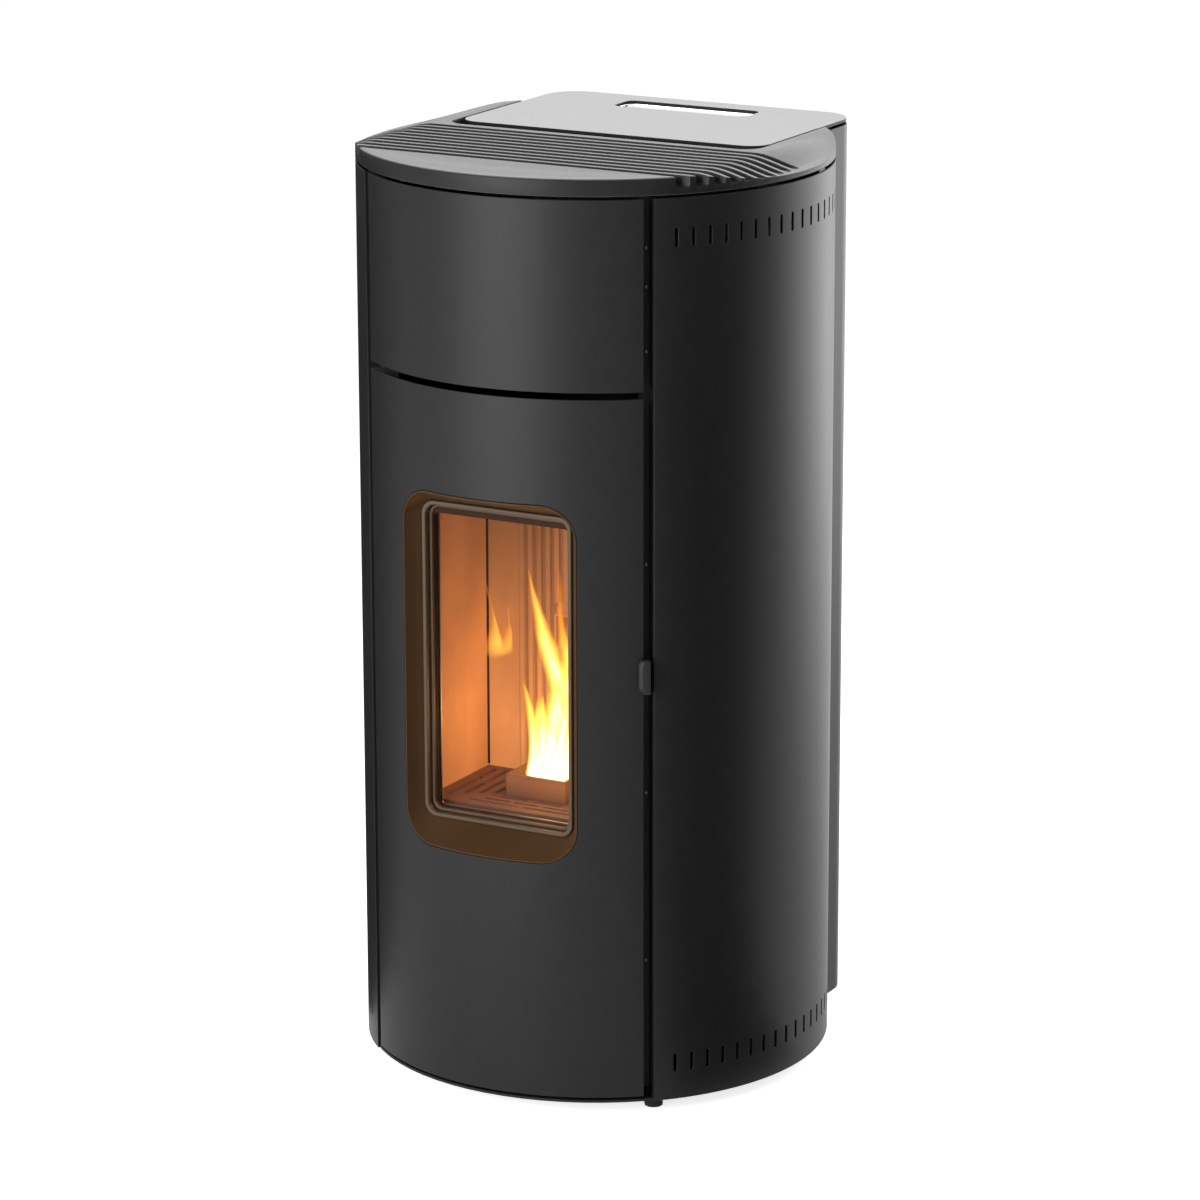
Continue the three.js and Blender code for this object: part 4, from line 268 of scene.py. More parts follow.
def surface(name, colour, roughness, metallic=0.0, specular=0.5, grain=900, bump=0.0,
            variation=0.08, stretch=(1, 1, 1)):
    """A finish with fine grain in its colour, roughness and relief."""
    made, nodes, links, shader = material(name)
    shader.inputs["Metallic"].default_value = metallic
    shader.inputs["Specular IOR Level"].default_value = specular
    fine = object_noise(nodes, links, grain, 4, stretch)
    broad = object_noise(nodes, links, grain / 60, 2, stretch)
    colours = ramp(nodes, links, broad.outputs["Fac"], [
        (0.3, shade(colour, 1 - variation)),
        (0.7, shade(colour, 1 + variation)),
    ])
    links.new(colours.outputs["Color"], shader.inputs["Base Color"])
    rough = number_range(nodes, links, fine.outputs["Fac"], roughness - 0.04, roughness + 0.04,
                         0.3, 0.7)
    links.new(rough, shader.inputs["Roughness"])
    if bump:
        relief = nodes.new("ShaderNodeBump")
        relief.inputs["Strength"].default_value = bump
        relief.inputs["Distance"].default_value = 0.0004
        links.new(fine.outputs["Fac"], relief.inputs["Height"])
        links.new(relief.outputs["Normal"], shader.inputs["Normal"])
    return made


def rib_groove_shade(nodes, links, across, pitch, half_width):
    """Painted shade: darker firelight in bands between upright ribs, none beyond the ribbed
    stretch.
    """
    turn = math_node(nodes, links, "MULTIPLY", across, 2 * math.pi / (pitch * MM))
    wave = math_node(nodes, links, "COSINE", turn)
    ribbed = number_range(nodes, links, wave, 0.45, 1.0, -0.35, 0.35)
    reach = math_node(nodes, links, "ABSOLUTE", across)
    plain = math_node(nodes, links, "GREATER_THAN", reach, half_width * MM)
    return math_node(nodes, links, "MAXIMUM", ribbed, plain)


def painted_firelight_surface(name, colour, roughness, glow, low, high, ribs=None):
    """A fire-side surface with painted firelight, which glows more towards the bed of embers."""
    made = surface(name, colour, roughness, grain=500, bump=0.25, variation=0.2)
    nodes, links = made.node_tree.nodes, made.node_tree.links
    shader = nodes["Principled BSDF"]
    place = nodes.new("ShaderNodeTexCoord")
    split = nodes.new("ShaderNodeSeparateXYZ")
    links.new(place.outputs["Object"], split.inputs["Vector"])
    # how near the embers a point is, which sets the painted firelight's colour
    heat_and_firelight = number_range(nodes, links, split.outputs["Z"], 0, 1, high * MM, low * MM)
    colours = ramp(nodes, links, heat_and_firelight, [
        (0.0, shade(glow, 0.14)),
        (0.4, shade(glow, 0.45)),
        (0.8, glow),
        (1.0, shade(glow, 0.8)),
    ])
    links.new(colours.outputs["Color"], shader.inputs["Emission Color"])
    # painted firelight in soft patches of stronger and weaker glow
    patches = object_noise(nodes, links, 14, 3, (1, 1, 0.35))
    strength = number_range(nodes, links, patches.outputs["Fac"], 0.7, 1.25, 0.3, 0.7)
    # painted shade in the grooves of the rear liner's ribs
    if ribs:
        bands = rib_groove_shade(nodes, links, split.outputs["X"], *ribs)
        strength = math_node(nodes, links, "MULTIPLY", strength, bands)
    links.new(strength, shader.inputs["Emission Strength"])
    return made


def glass_material():
    """Thin ceramic glass with faint smudges."""
    made, nodes, links, shader = material("ceramic_glass")
    shader.inputs["Base Color"].default_value = (0.03, 0.022, 0.018, 1)
    shader.inputs["Alpha"].default_value = 0.1
    shader.inputs["Specular IOR Level"].default_value = 0.12
    smudge = object_noise(nodes, links, 25, 2)
    rough = number_range(nodes, links, smudge.outputs["Fac"], 0.02, 0.1)
    links.new(rough, shader.inputs["Roughness"])
    return made


def flame_material():
    """Glowing gas; the UV map holds how hot it is and how dense it is."""
    made, nodes, links, shader = material("flame")
    nodes.remove(shader)
    place = nodes.new("ShaderNodeTexCoord")
    split = nodes.new("ShaderNodeSeparateXYZ")
    links.new(place.outputs["UV"], split.inputs["Vector"])
    wisps = object_noise(nodes, links, 45, 3, (1, 1, 0.3))
    flicker = number_range(nodes, links, wisps.outputs["Fac"], -0.18, 0.18, 0.3, 0.7)
    heat_and_firelight = math_node(nodes, links, "ADD", split.outputs["X"], flicker)
    colours = ramp(nodes, links, heat_and_firelight, [
        (0.0, (0.7, 0.14, 0.012)),
        (0.3, (1.0, 0.33, 0.03)),
        (0.6, (1.0, 0.6, 0.08)),
        (1.0, (1.0, 0.86, 0.42)),
    ])
    emission = nodes.new("ShaderNodeEmission")
    links.new(colours.outputs["Color"], emission.inputs["Color"])
    links.new(number_range(nodes, links, heat_and_firelight, 1.0, 3.4), emission.inputs["Strength"])
    clear = nodes.new("ShaderNodeBsdfTransparent")
    mix = nodes.new("ShaderNodeMixShader")
    links.new(split.outputs["Y"], mix.inputs["Fac"])
    links.new(clear.outputs["BSDF"], mix.inputs[1])
    links.new(emission.outputs["Emission"], mix.inputs[2])
    links.new(mix.outputs["Shader"], nodes["Material Output"].inputs["Surface"])
    return made


black_paint = surface("satin_black_paint", (0.009, 0.009, 0.0094), 0.43, specular=0.16,
                      grain=2500, bump=0.06)
deep_black = surface("matt_black_steel", (0.008, 0.008, 0.008), 0.6, specular=0.2, bump=0.1)
# painted shade: a darker black for the sides and floors of the top's grooves
painted_groove_shade = surface("painted_groove_shade", (0.016, 0.016, 0.0165), 0.5, specular=0.17, bump=0.06)
# grey top paint, its colour lightened as painted sheen for the top's grazing reflection
top_paint_and_sheen = surface("grey_top_paint_and_painted_sheen", (0.072, 0.072, 0.073), 0.25, specular=0.6,
                    grain=2000, bump=0.03)
lid_paint = surface("silver_lid_paint", (0.44, 0.44, 0.44), 0.34, metallic=0.2, grain=1800,
                    variation=0.02, bump=0.03)
bright_steel = surface("bright_steel", (0.97, 0.97, 0.97), 0.22, metallic=1, variation=0.01,
                       stretch=(1, 12, 1))
plain_steel = surface("machined_steel", (0.2, 0.2, 0.21), 0.5, metallic=1, bump=0.1)
screw_steel = surface("blackened_steel", (0.1, 0.1, 0.1), 0.4, metallic=1, bump=0.1)
galvanised = surface("galvanised_sheet", (0.33, 0.345, 0.35), 0.5, metallic=0.8, grain=300,
                     variation=0.15)
dark_zinc = surface("dark_zinc", (0.035, 0.036, 0.038), 0.62, specular=0.3, grain=300,
                    variation=0.2, bump=0.1)
cast_iron = surface("cast_iron", (0.045, 0.04, 0.038), 0.7, metallic=0.3, bump=0.5)
bronze = surface("bronze_enamel", (0.066, 0.044, 0.027), 0.52, metallic=0.1, specular=0.2,
                 bump=0.05)
brown_paint = surface("brown_paint", (0.05, 0.025, 0.01), 0.5, specular=0.1, bump=0.05)
latch_paint = surface("latch_enamel", (0.016, 0.0155, 0.015), 0.48, specular=0.18, bump=0.08)
gasket_rope = surface("glass_rope", (0.1, 0.1, 0.095), 0.95, specular=0.1, grain=700, bump=0.8)
rubber = surface("black_rubber", (0.012, 0.012, 0.012), 0.75, specular=0.25, bump=0.2)
plastic = surface("black_plastic", (0.015, 0.015, 0.016), 0.5, bump=0.2)
red_paint = surface("red_paint", (0.32, 0.02, 0.015), 0.4)
brass = surface("drawn_brass", (0.6, 0.4, 0.15), 0.3, metallic=1)
# painted firelight: the liners, the grate and the burn pot glow, most near the embers, for the
# fire's light on them
liner_side = painted_firelight_surface("side_liner_board", (0.3, 0.14, 0.06), 0.8, (0.5, 0.16, 0.04),
                          350, 780)
liner_rear = painted_firelight_surface("rear_liner_board", (0.16, 0.06, 0.018), 0.8, (0.85, 0.29, 0.08),
                          330, 700, ribs=(12, 78))
firelit_grate_iron = painted_firelight_surface("firelit_cast_iron", (0.12, 0.055, 0.035), 0.7, (0.045, 0.01, 0.004),
                        340, 380)
pot_iron = painted_firelight_surface("burn_pot_iron", (0.06, 0.022, 0.006), 0.75, (0.3, 0.08, 0.013),
                        370, 325)
# painted shade: a dark brown for the rear corner joints and for the door plate seen between bead
# and glass
gap_shade = surface("painted_gap_shade", (0.03, 0.014, 0.008), 0.9, specular=0.1, bump=0.3)
glass = glass_material()
flame = flame_material()

CAD_FINISHES = {
    black_paint: ["front_upper_panel", "side_panel_left", "side_panel_right", "rear_cover",
                  "door_skin", "boiler_shell", "flue_outlet"],
    deep_black: ["base_plate", "frame_post_left", "frame_post_right", "frame_lintel",
                 "firebox_stand"],
    # the door plate in painted shade
    gap_shade: ["door_frame"],
    # grey top with painted sheen
    top_paint_and_sheen: ["top_slab"],
    lid_paint: ["hopper_lid"],
    bright_steel: ["lid_pull_dish"],
    plain_steel: ["hinge_pin", "lid_hinge_leaf", "lid_hinge_base", "hopper_guard", "auger_screw",
                  "auger_gearmotor", "igniter", "door_pivot_upper", "door_pivot_lower",
                  "glass_clamp", "flue_fan_impeller", "flue_fan_motor"],
    dark_zinc: ["hopper"],
    galvanised: ["auger_tube", "ash_drawer", "smoke_duct", "flue_fan_housing", "air_inlet_pipe"],
    cast_iron: ["firebox_body", "smoke_deflector", "pot_holder", "circulation_pump"],
    firelit_grate_iron: ["fire_grate"],
    pot_iron: ["burn_pot"],
    bronze: ["glass_frame"],
    latch_paint: ["latch_handle"],
    brown_paint: ["window_surround"],
    liner_side: ["side_liner_left", "side_liner_right", "pellet_chute"],
    liner_rear: ["rear_liner"],
    glass: ["door_glass"],
    gasket_rope: ["door_gasket"],
    rubber: ["lid_seal", "foot_front_left", "foot_front_right", "foot_rear_left",
             "foot_rear_right", "rear_switch"],
    plastic: ["power_inlet", "control_box"],
    red_paint: ["expansion_vessel"],
    brass: ["flow_pipe", "return_pipe"],
}
for finish, names in CAD_FINISHES.items():
    for name in names:
        data = frame["nodes"][name].data
        data.materials.clear()
        data.materials.append(finish)


def round_edges(piece, width, segments, angle):
    """Rounds a piece's edges where its faces meet at more than an angle."""
    rounding = piece.modifiers.new("rounded_edges", "BEVEL")
    rounding.width = width * MM
    rounding.segments = segments
    rounding.limit_method = "ANGLE"
    rounding.angle_limit = math.radians(angle)


# rounding on carried-over solids that show
CAD_ROUNDING = {"fire_grate": 0.8, "burn_pot": 1.2, "rear_liner": 1.0, "side_liner_left": 0.8,
                "side_liner_right": 0.8, "door_frame": 1.0, "ash_drawer": 0.4,
                "power_inlet": 0.6, "rear_switch": 0.5}
for name, width in CAD_ROUNDING.items():
    round_edges(frame["nodes"][name], width, 2, 40)


# ---------------------------------------------------------------- shape helpers


def add_piece(name, mesh, body, finish, replaced=()):
    """Puts a finished mesh into the scene on its body."""
    piece = link(name, mesh)
    mesh.materials.append(finish)
    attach(piece, body)
    if replaced:
        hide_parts(*replaced)
    return piece


def smooth(mesh, sharp_angle=30):
    """Smooth shading with sharp edges where faces meet at more than an angle."""
    mesh.shade_smooth()
    mesh.set_sharp_from_angle(angle=math.radians(sharp_angle))
    return mesh


def paint_faces(mesh, finish, chosen):
    """Gives a second finish to the faces for which chosen(centre, normal) holds."""
    mesh.materials.append(finish)
    last = len(mesh.materials) - 1
    for face in mesh.polygons:
        centre = Vector(face.center) / MM - Vector((0, CASING_AXIS_Y, 0))
        if chosen(centre, face.normal):
            face.material_index = last


def closed_mesh(name, points, faces):
    """A mesh from points in millimetres, with its faces turned outwards."""
    shape = bmesh.new()
    corners = [shape.verts.new(row(*point)) for point in points]
    for face in faces:
        shape.faces.new([corners[i] for i in face])
    bmesh.ops.remove_doubles(shape, verts=shape.verts, dist=1e-7)
    bmesh.ops.recalc_face_normals(shape, faces=shape.faces)
    mesh = bpy.data.meshes.new(name)
    shape.to_mesh(mesh)
    shape.free()
    return mesh


def band_faces(first, second, count):
    """Faces between two rings of count points, given by each ring's number."""
    return [(first * count + j, first * count + (j + 1) % count,
             second * count + (j + 1) % count, second * count + j) for j in range(count)]


def cap_face(ring, count):
    """The face that closes a ring of count points."""
    return tuple(range(ring * count, (ring + 1) * count))


def rings_mesh(name, rings, closed=True):
    """A skin through equal rings of points; closed joins the last ring to the first."""
    count = len(rings[0])
    points = [point for ring in rings for point in ring]
    faces = []
    for i in range(len(rings) if closed else len(rings) - 1):
        faces.extend(band_faces(i, (i + 1) % len(rings), count))
    if not closed:
        faces.append(cap_face(0, count))
        faces.append(cap_face(len(rings) - 1, count))
    return closed_mesh(name, points, faces)


def prism_mesh(name, loop, low, high):
    """An upright bar over a plan outline."""
    return rings_mesh(name, [[(x, y, z) for x, y in loop] for z in (low, high)], closed=False)


def arc(x, y, radius, start, end, steps):
    """Points on an arc about a centre, both ends included."""
    angles = [math.radians(start + (end - start) * i / steps) for i in range(steps + 1)]
    return [(x + radius * math.cos(angle), y + radius * math.sin(angle)) for angle in angles]


def circle_loop(x, y, radius, steps):
    """A closed loop round a circle."""
    return arc(x, y, radius, 0, 360, steps)[:-1]


def lathe_mesh(name, centre, profile, segments):
    """A turned shape about an upright axis; the profile runs from axis to axis."""
    rings = [[(x, y, z) for x, y in circle_loop(*centre, max(radius, 0.001), segments)]
             for radius, z in profile]
    return rings_mesh(name, rings, closed=False)


def round_outline(half_width, low, high, corner, steps, across=1):
    """A loop round a rectangle with round corners; across splits its level sides."""
    right = half_width - corner

    def level(x0, x1, z):
        """The points that split a level side, without its ends."""
        return [(x0 + (x1 - x0) * i / across, z) for i in range(1, across)]

    return [*arc(right, high - corner, corner, 0, 90, steps),
            *level(right, -right, high),
            *arc(-right, high - corner, corner, 90, 180, steps),
            *arc(-right, low + corner, corner, 180, 270, steps),
            *level(-right, right, low),
            *arc(right, low + corner, corner, 270, 360, steps)]


def rectangle_loop(x0, x1, z0, z1, corner=0.0, steps=6):
    """A closed loop round a rectangle, its corners rounded if a radius is given."""
    if corner <= 0:
        return [(x0, z0), (x1, z0), (x1, z1), (x0, z1)]
    middle = (x0 + x1) / 2
    loop = round_outline((x1 - x0) / 2, z0, z1, corner, steps)
    return [(x + middle, z) for x, z in loop]


def flat_sheet(outline, holes, columns):
    """A flat sheet with holes, cut across at each column."""
    flat = bmesh.new()
    edges = []
    for loop in [outline, *holes]:
        corners = [flat.verts.new((s, t, 0)) for s, t in loop]
        for a, b in zip(corners, corners[1:] + corners[:1]):
            edges.append(flat.edges.new((a, b)))
    bmesh.ops.triangle_fill(flat, edges=edges, use_beauty=True)
    for s in columns:
        geometry = flat.verts[:] + flat.edges[:] + flat.faces[:]
        bmesh.ops.bisect_plane(flat, geom=geometry, dist=1e-4, plane_co=(s, 0, 0),
                               plane_no=(1, 0, 0))
    for face in flat.faces:
        face.normal_update()
        if face.normal.z < 0:
            face.normal_flip()
    flat.verts.index_update()
    return flat


def rim_shifts(flat):
    """How far each rim corner moves outwards for one millimetre of rounding."""
    shifts = {}
    for corner in flat.verts:
        rim = [edge for edge in corner.link_edges if edge.is_boundary]
        if len(rim) != 2:
            continue
        normals = []
        for edge in rim:
            forward = (edge.verts[1].co - edge.verts[0].co).normalized()
            normal = Vector((forward.y, -forward.x, 0))
            inside = edge.link_faces[0].calc_center_median() - edge.verts[0].co
            normals.append(-normal if normal.dot(inside) > 0 else normal)
        total = normals[0] + normals[1]
        shifts[corner.index] = total / max(0.3, 1 + normals[0].dot(normals[1]))
    return shifts


def sheet_mesh(name, outline, holes, place, thickness, columns=()):
    """A sheet with rounded edges and holes, drawn flat and then placed.

    place(s, t, depth) gives a flat point's place at a depth under the outer face and
    the outward normal there, and columns are the places in s where the sheet may bend.
    """
    flat = flat_sheet(outline, holes, columns)
    shifts = rim_shifts(flat)
    # each level's sideways shift, depth and lean of its normal
    levels = [(0, 0, 0), (EDGE_ROUND * 0.5, EDGE_ROUND * 0.13, 30),
              (EDGE_ROUND * 0.87, EDGE_ROUND * 0.5, 60), (EDGE_ROUND, EDGE_ROUND, 90),
              (EDGE_ROUND, thickness, 90)]
    points, faces, corner_normals = [], [], []
    index = {}

    def rim_point(corner, offset, depth, lean):
        """A corner's place on the rim, and its normal leaning sideways."""
        shift = shifts.get(corner.index, Vector((0, 0, 0)))
        s = corner.co.x + shift.x * offset
        t = corner.co.y + shift.y * offset
        position, outward = place(s, t, depth)
        far, _ = place(s + shift.x * 0.1, t + shift.y * 0.1, depth)
        side = far - position
        side = side.normalized() if side.length > 0 else outward
        angle = math.radians(lean)
        return position, (outward * math.cos(angle) + side * math.sin(angle)).normalized()

    def vertex(corner, level):
        """A corner's point number and normal at a level, made once."""
        key = (corner.index, level)
        if key not in index:
            position, normal = rim_point(corner, *levels[level])
            index[key] = (len(points), normal)
            points.append(position)
        return index[key]

    under = {}
    for corner in flat.verts:
        if corner.index in shifts:
            under[corner.index] = vertex(corner, len(levels) - 1)[0]
        else:
            under[corner.index] = len(points)
            points.append(place(corner.co.x, corner.co.y, thickness)[0])
    for face in flat.faces:
        ring = [vertex(corner, 0) for corner in face.verts]
        faces.append([i for i, _ in ring])
        corner_normals.extend(normal for _, normal in ring)
        below = list(reversed(face.verts))
        faces.append([under[corner.index] for corner in below])
        corner_normals.extend(-place(corner.co.x, corner.co.y, 0)[1] for corner in below)
    for edge in flat.edges:
        if not edge.is_boundary:
            continue
        first = next(item for item in edge.link_faces[0].loops if item.edge == edge)
        a, b = first.vert, first.link_loop_next.vert
        for level in range(len(levels) - 1):
            quad = [vertex(b, level), vertex(a, level), vertex(a, level + 1),
                    vertex(b, level + 1)]
            faces.append([i for i, _ in quad])
            corner_normals.extend(normal for _, normal in quad)
    flat.free()
    mesh = bpy.data.meshes.new(name)
    mesh.from_pydata(points, [], faces)
    mesh.validate(clean_customdata=False)
    mesh.shade_smooth()
    mesh.normals_split_custom_set(corner_normals)
    return mesh


def casing_place(s, t, depth):
    """Bends a flat sheet round the casing; s runs along the circle."""
    angle = s / CASING_RADIUS
    outward = Vector((math.sin(angle), -math.cos(angle), 0))
    reach = CASING_RADIUS - depth
    return row(outward.x * reach, outward.y * reach, t), outward


def lid_place(s, t, depth):
    """Lays a flat sheet level with the top; s is x and t is y."""
    return row(s, t, TOP_FACE - depth), Vector((0, 0, 1))


def rear_place(s, t, depth):
    """Wraps a flat sheet round the rear box; s is 0 at the middle of the rear face."""
    straight = REAR_HALF_WIDTH - REAR_CORNER
    bend = REAR_CORNER * math.pi / 2
    side = 1 if s >= 0 else -1
    reach = abs(s)
    if reach <= straight:
        x, y, normal = reach, REAR_FACE, (0, 1)
    elif reach <= straight + bend:
        angle = (reach - straight) / REAR_CORNER
        normal = (math.sin(angle), math.cos(angle))
        x = straight + REAR_CORNER * normal[0]
        y = REAR_FACE - REAR_CORNER + REAR_CORNER * normal[1]
    else:
        x = REAR_HALF_WIDTH
        y = REAR_FACE - REAR_CORNER - (reach - straight - bend)
        normal = (1, 0)
    outward = Vector((-side * normal[0], normal[1], 0))
    return row(-side * x - outward.x * depth, y - outward.y * depth, t), outward


def settle(piece):
    """Bakes a piece's modifiers into its mesh."""
    graph = bpy.context.evaluated_depsgraph_get()
    mesh = bpy.data.meshes.new_from_object(piece.evaluated_get(graph))
    piece.modifiers.clear()
    old = piece.data
    piece.data = mesh
    bpy.data.meshes.remove(old)


def cut_from(piece, cutters):
    """Cuts meshes out of a piece."""
    joined = bmesh.new()
    for mesh in cutters:
        joined.from_mesh(mesh)
        bpy.data.meshes.remove(mesh)
    tool_mesh = bpy.data.meshes.new("cutter")
    joined.to_mesh(tool_mesh)
    joined.free()
    tool = link("cutter", tool_mesh)
    boolean = piece.modifiers.new("cut", "BOOLEAN")
    boolean.operation = "DIFFERENCE"
    boolean.solver = "EXACT"
    boolean.use_self = True
    boolean.object = tool
    settle(piece)
    bpy.data.objects.remove(tool)
    bpy.data.meshes.remove(tool_mesh)


# ---------------------------------------------------------------- casing


def along(angle):
    """Length along the casing's circle from the front, at an angle."""
    return math.radians(angle) * CASING_RADIUS


def panel(name, start, end, bottom, top, holes):
    """A curved casing panel."""
    s0, s1 = along(start) + EDGE_ROUND, along(end) - EDGE_ROUND
    count = max(2, round((end - start) / COLUMN_ANGLE))
    columns = [s0 + (s1 - s0) * i / count for i in range(1, count)]
    outline = rectangle_loop(s0, s1, bottom + EDGE_ROUND, top - EDGE_ROUND)
    return sheet_mesh(name, outline, holes, casing_place, SHEET, columns)


def slots(side):
    """The two rows of vent slots of one side panel."""
    loops = []
    half_width = SLOT_WIDTH / 2 + EDGE_ROUND
    half_height = SLOT_HEIGHT / 2 + EDGE_ROUND
    for i in range(SLOT_COUNT):
        s = along(side * (SLOT_FIRST + i * SLOT_PITCH))
        for z in (PANEL_BOTTOM + SLOT_EDGE_DISTANCE, PANEL_TOP - SLOT_EDGE_DISTANCE):
            loops.append(rectangle_loop(s - half_width, s + half_width, z - half_height,
                                        z + half_height, half_width - 0.01, 5))
    return loops


def window_loop(grow):
    """The window's hole in the door, along the casing's circle."""
    outline = round_outline(WINDOW_HALF_WIDTH + grow, RECESS_MIDDLE - WINDOW_HALF_HEIGHT - grow,
                            RECESS_MIDDLE + WINDOW_HALF_HEIGHT + grow, WINDOW_CORNER + grow,
                            12, 40)
    return [(CASING_RADIUS * math.asin(x / CASING_RADIUS), z) for x, z in outline]


def fold_mesh(name, angle, turn):
    """The folded edge of a side panel, which runs inwards beside the seam."""
    step = math.degrees(SHEET / (CASING_RADIUS - SHEET))
    outer = CASING_RADIUS - SHEET - 0.05
    loop = [polar(FOLD_INNER_RADIUS, angle), polar(outer, angle),
            polar(outer, angle + turn * step), polar(FOLD_INNER_RADIUS, angle + turn * step)]
    return smooth(prism_mesh(name, loop, FOLD_BOTTOM, PANEL_TOP - 0.2))


def rear_sheet():
    """The rear cover, wrapped round both rear corners."""
    straight = REAR_HALF_WIDTH - REAR_CORNER
    bend = REAR_CORNER * math.pi / 2
    reach = straight + bend + (REAR_FACE - REAR_CORNER - COVER_FRONT) - EDGE_ROUND
    outline = rectangle_loop(-reach, reach, PANEL_BOTTOM + EDGE_ROUND, COVER_TOP - EDGE_ROUND)
    columns = []
    bend_steps = 24
    for i in range(bend_steps + 1):
        s = straight + bend * i / bend_steps
        columns.extend([-s, s])
    holes = [circle_loop(-x, z, radius + gap + EDGE_ROUND, steps) for (x, z, radius), gap, steps
             in ((FLUE, 1, 48), (AIR, 1, 32), (FLOW, 2, 28), (RETURN, 2, 28))]
    grow = EDGE_ROUND + INLET_GAP
    holes.append(rectangle_loop(-INLET_X[1] - grow, -INLET_X[0] + grow, INLET_Z[0] - grow,
                                INLET_Z[1] + grow))
    return sheet_mesh("rear_box_skin", outline, holes, rear_place, SHEET, columns)


for name, start, end, bottom, holes, replaced in (
        ("side_skin_right", SIDE_START, SIDE_END, PANEL_BOTTOM, slots(1), "side_panel_right"),
        ("side_skin_left", -SIDE_END, -SIDE_START, PANEL_BOTTOM, slots(-1), "side_panel_left"),
        ("upper_skin", -DOOR_HALF_ANGLE, DOOR_HALF_ANGLE, UPPER_PANEL_BOTTOM, [],
         "front_upper_panel")):
    skin = panel(name, start, end, bottom, PANEL_TOP, holes)
    add_piece(name, skin, "casing", black_paint, [replaced])
    # painted shade: the panels' top edges, in the shadow gap under the slab, in matt black
    paint_faces(skin, deep_black,
                lambda centre, normal: normal.z > 0.25 and centre.z > PANEL_TOP - 1)

add_piece("door_panel", panel("door_panel", -DOOR_HALF_ANGLE, DOOR_HALF_ANGLE, DOOR_BOTTOM,
                              DOOR_TOP, [window_loop(EDGE_ROUND)]),
          "fire_door", black_paint, ["door_skin"])

for name, turn in (("side_fold_right", 1), ("side_fold_left", -1)):
    add_piece(name, fold_mesh(name, turn * SIDE_START, turn), "casing", black_paint)

add_piece("rear_box_skin", rear_sheet(), "casing", black_paint, ["rear_cover"])


# ---------------------------------------------------------------- top


def shoulder_cutter(side, reach, above):
    """What is cut away over one sloping shoulder of the top slab."""
    steps = 24
    line = []
    for i in range(steps + 1):
        t = i / steps
        fall = SHOULDER_DROP * t * t * (3 - 2 * t) * (1 - 0.12 * (1 - t))
        x = CASING_RADIUS - SHOULDER_WIDTH + (SHOULDER_WIDTH + 1) * t
        line.append((side * x, TOP_FACE - fall))
    line.extend([(side * reach, TOP_FACE - SHOULDER_DROP), (side * reach, above),
                 (side * (CASING_RADIUS - SHOULDER_WIDTH), above)])
    return rings_mesh("shoulder", [[(x, y, z) for x, z in line] for y in (-reach, reach)],
                      closed=False)


def groove_cutter(front, reach, above):
    """One groove across the top slab, with round corners along its floor."""
    back = front + GROOVE_WIDTH
    middle = TOP_FACE - GROOVE_DEPTH + GROOVE_FILLET
    loop = [(front, above), (front, middle),
            *arc(front + GROOVE_FILLET, middle, GROOVE_FILLET, 210, 270, 2),
            *arc(back - GROOVE_FILLET, middle, GROOVE_FILLET, 270, 330, 2),
            (back, middle), (back, above)]
    return rings_mesh("groove", [[(x, y, z) for y, z in loop] for x in (-reach, reach)],
                      closed=False)


def slab_piece():
    """The top slab: round edge, sloping shoulders, grooves and the lid's well."""
    profile = [(0, SLAB_BOTTOM), (CASING_RADIUS - 0.6, SLAB_BOTTOM),
               (CASING_RADIUS, SLAB_BOTTOM + 0.6), (CASING_RADIUS, TOP_FACE - SLAB_EDGE),
               *arc(CASING_RADIUS - SLAB_EDGE, TOP_FACE - SLAB_EDGE, SLAB_EDGE, 18, 90, 4),
               (0, TOP_FACE)]
    piece = link("slatted_top", lathe_mesh("slatted_top", (0, 0), profile, 240))
    above = TOP_FACE + 5
    reach = CASING_RADIUS + 4
    well = round_outline(WELL_HALF_WIDTH, WELL_FRONT, reach + 60, LID_CORNER, 10)
    cut_from(piece, [prism_mesh("well", well, SLAB_BOTTOM - 4, above),
                     shoulder_cutter(-1, reach, above), shoulder_cutter(1, reach, above)])
    cut_from(piece, [groove_cutter(GROOVE_FIRST + i * GROOVE_PITCH, reach, above)
                     for i in range(GROOVE_COUNT)])
    round_edges(piece, 0.9, 2, 35)
    settle(piece)
    smooth(piece.data, 40)
    # the top faces in grey with painted sheen; the rim below keeps the body's black paint
    piece.data.materials.clear()
    piece.data.materials.append(top_paint_and_sheen)

    def groove_shade_face(centre, normal):
        """Whether a face is a groove's side or floor."""
        side = abs(normal.y) > 0.5 and centre.xy.length < CASING_RADIUS - 3
        deep = centre.z < TOP_FACE - GROOVE_DEPTH + 3 and abs(centre.x) < CASING_RADIUS - 30
        return centre.z > SLAB_BOTTOM + 2 and centre.y < WELL_FRONT and (side or deep)

    # painted shade on the grooves' sides and floors
    paint_faces(piece.data, painted_groove_shade, groove_shade_face)
    paint_faces(piece.data, black_paint, lambda centre, normal: (
        centre.xy.length > CASING_RADIUS - 1.5 and abs(normal.z) < 0.5))
    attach(piece, "casing")
    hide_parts("top_slab")


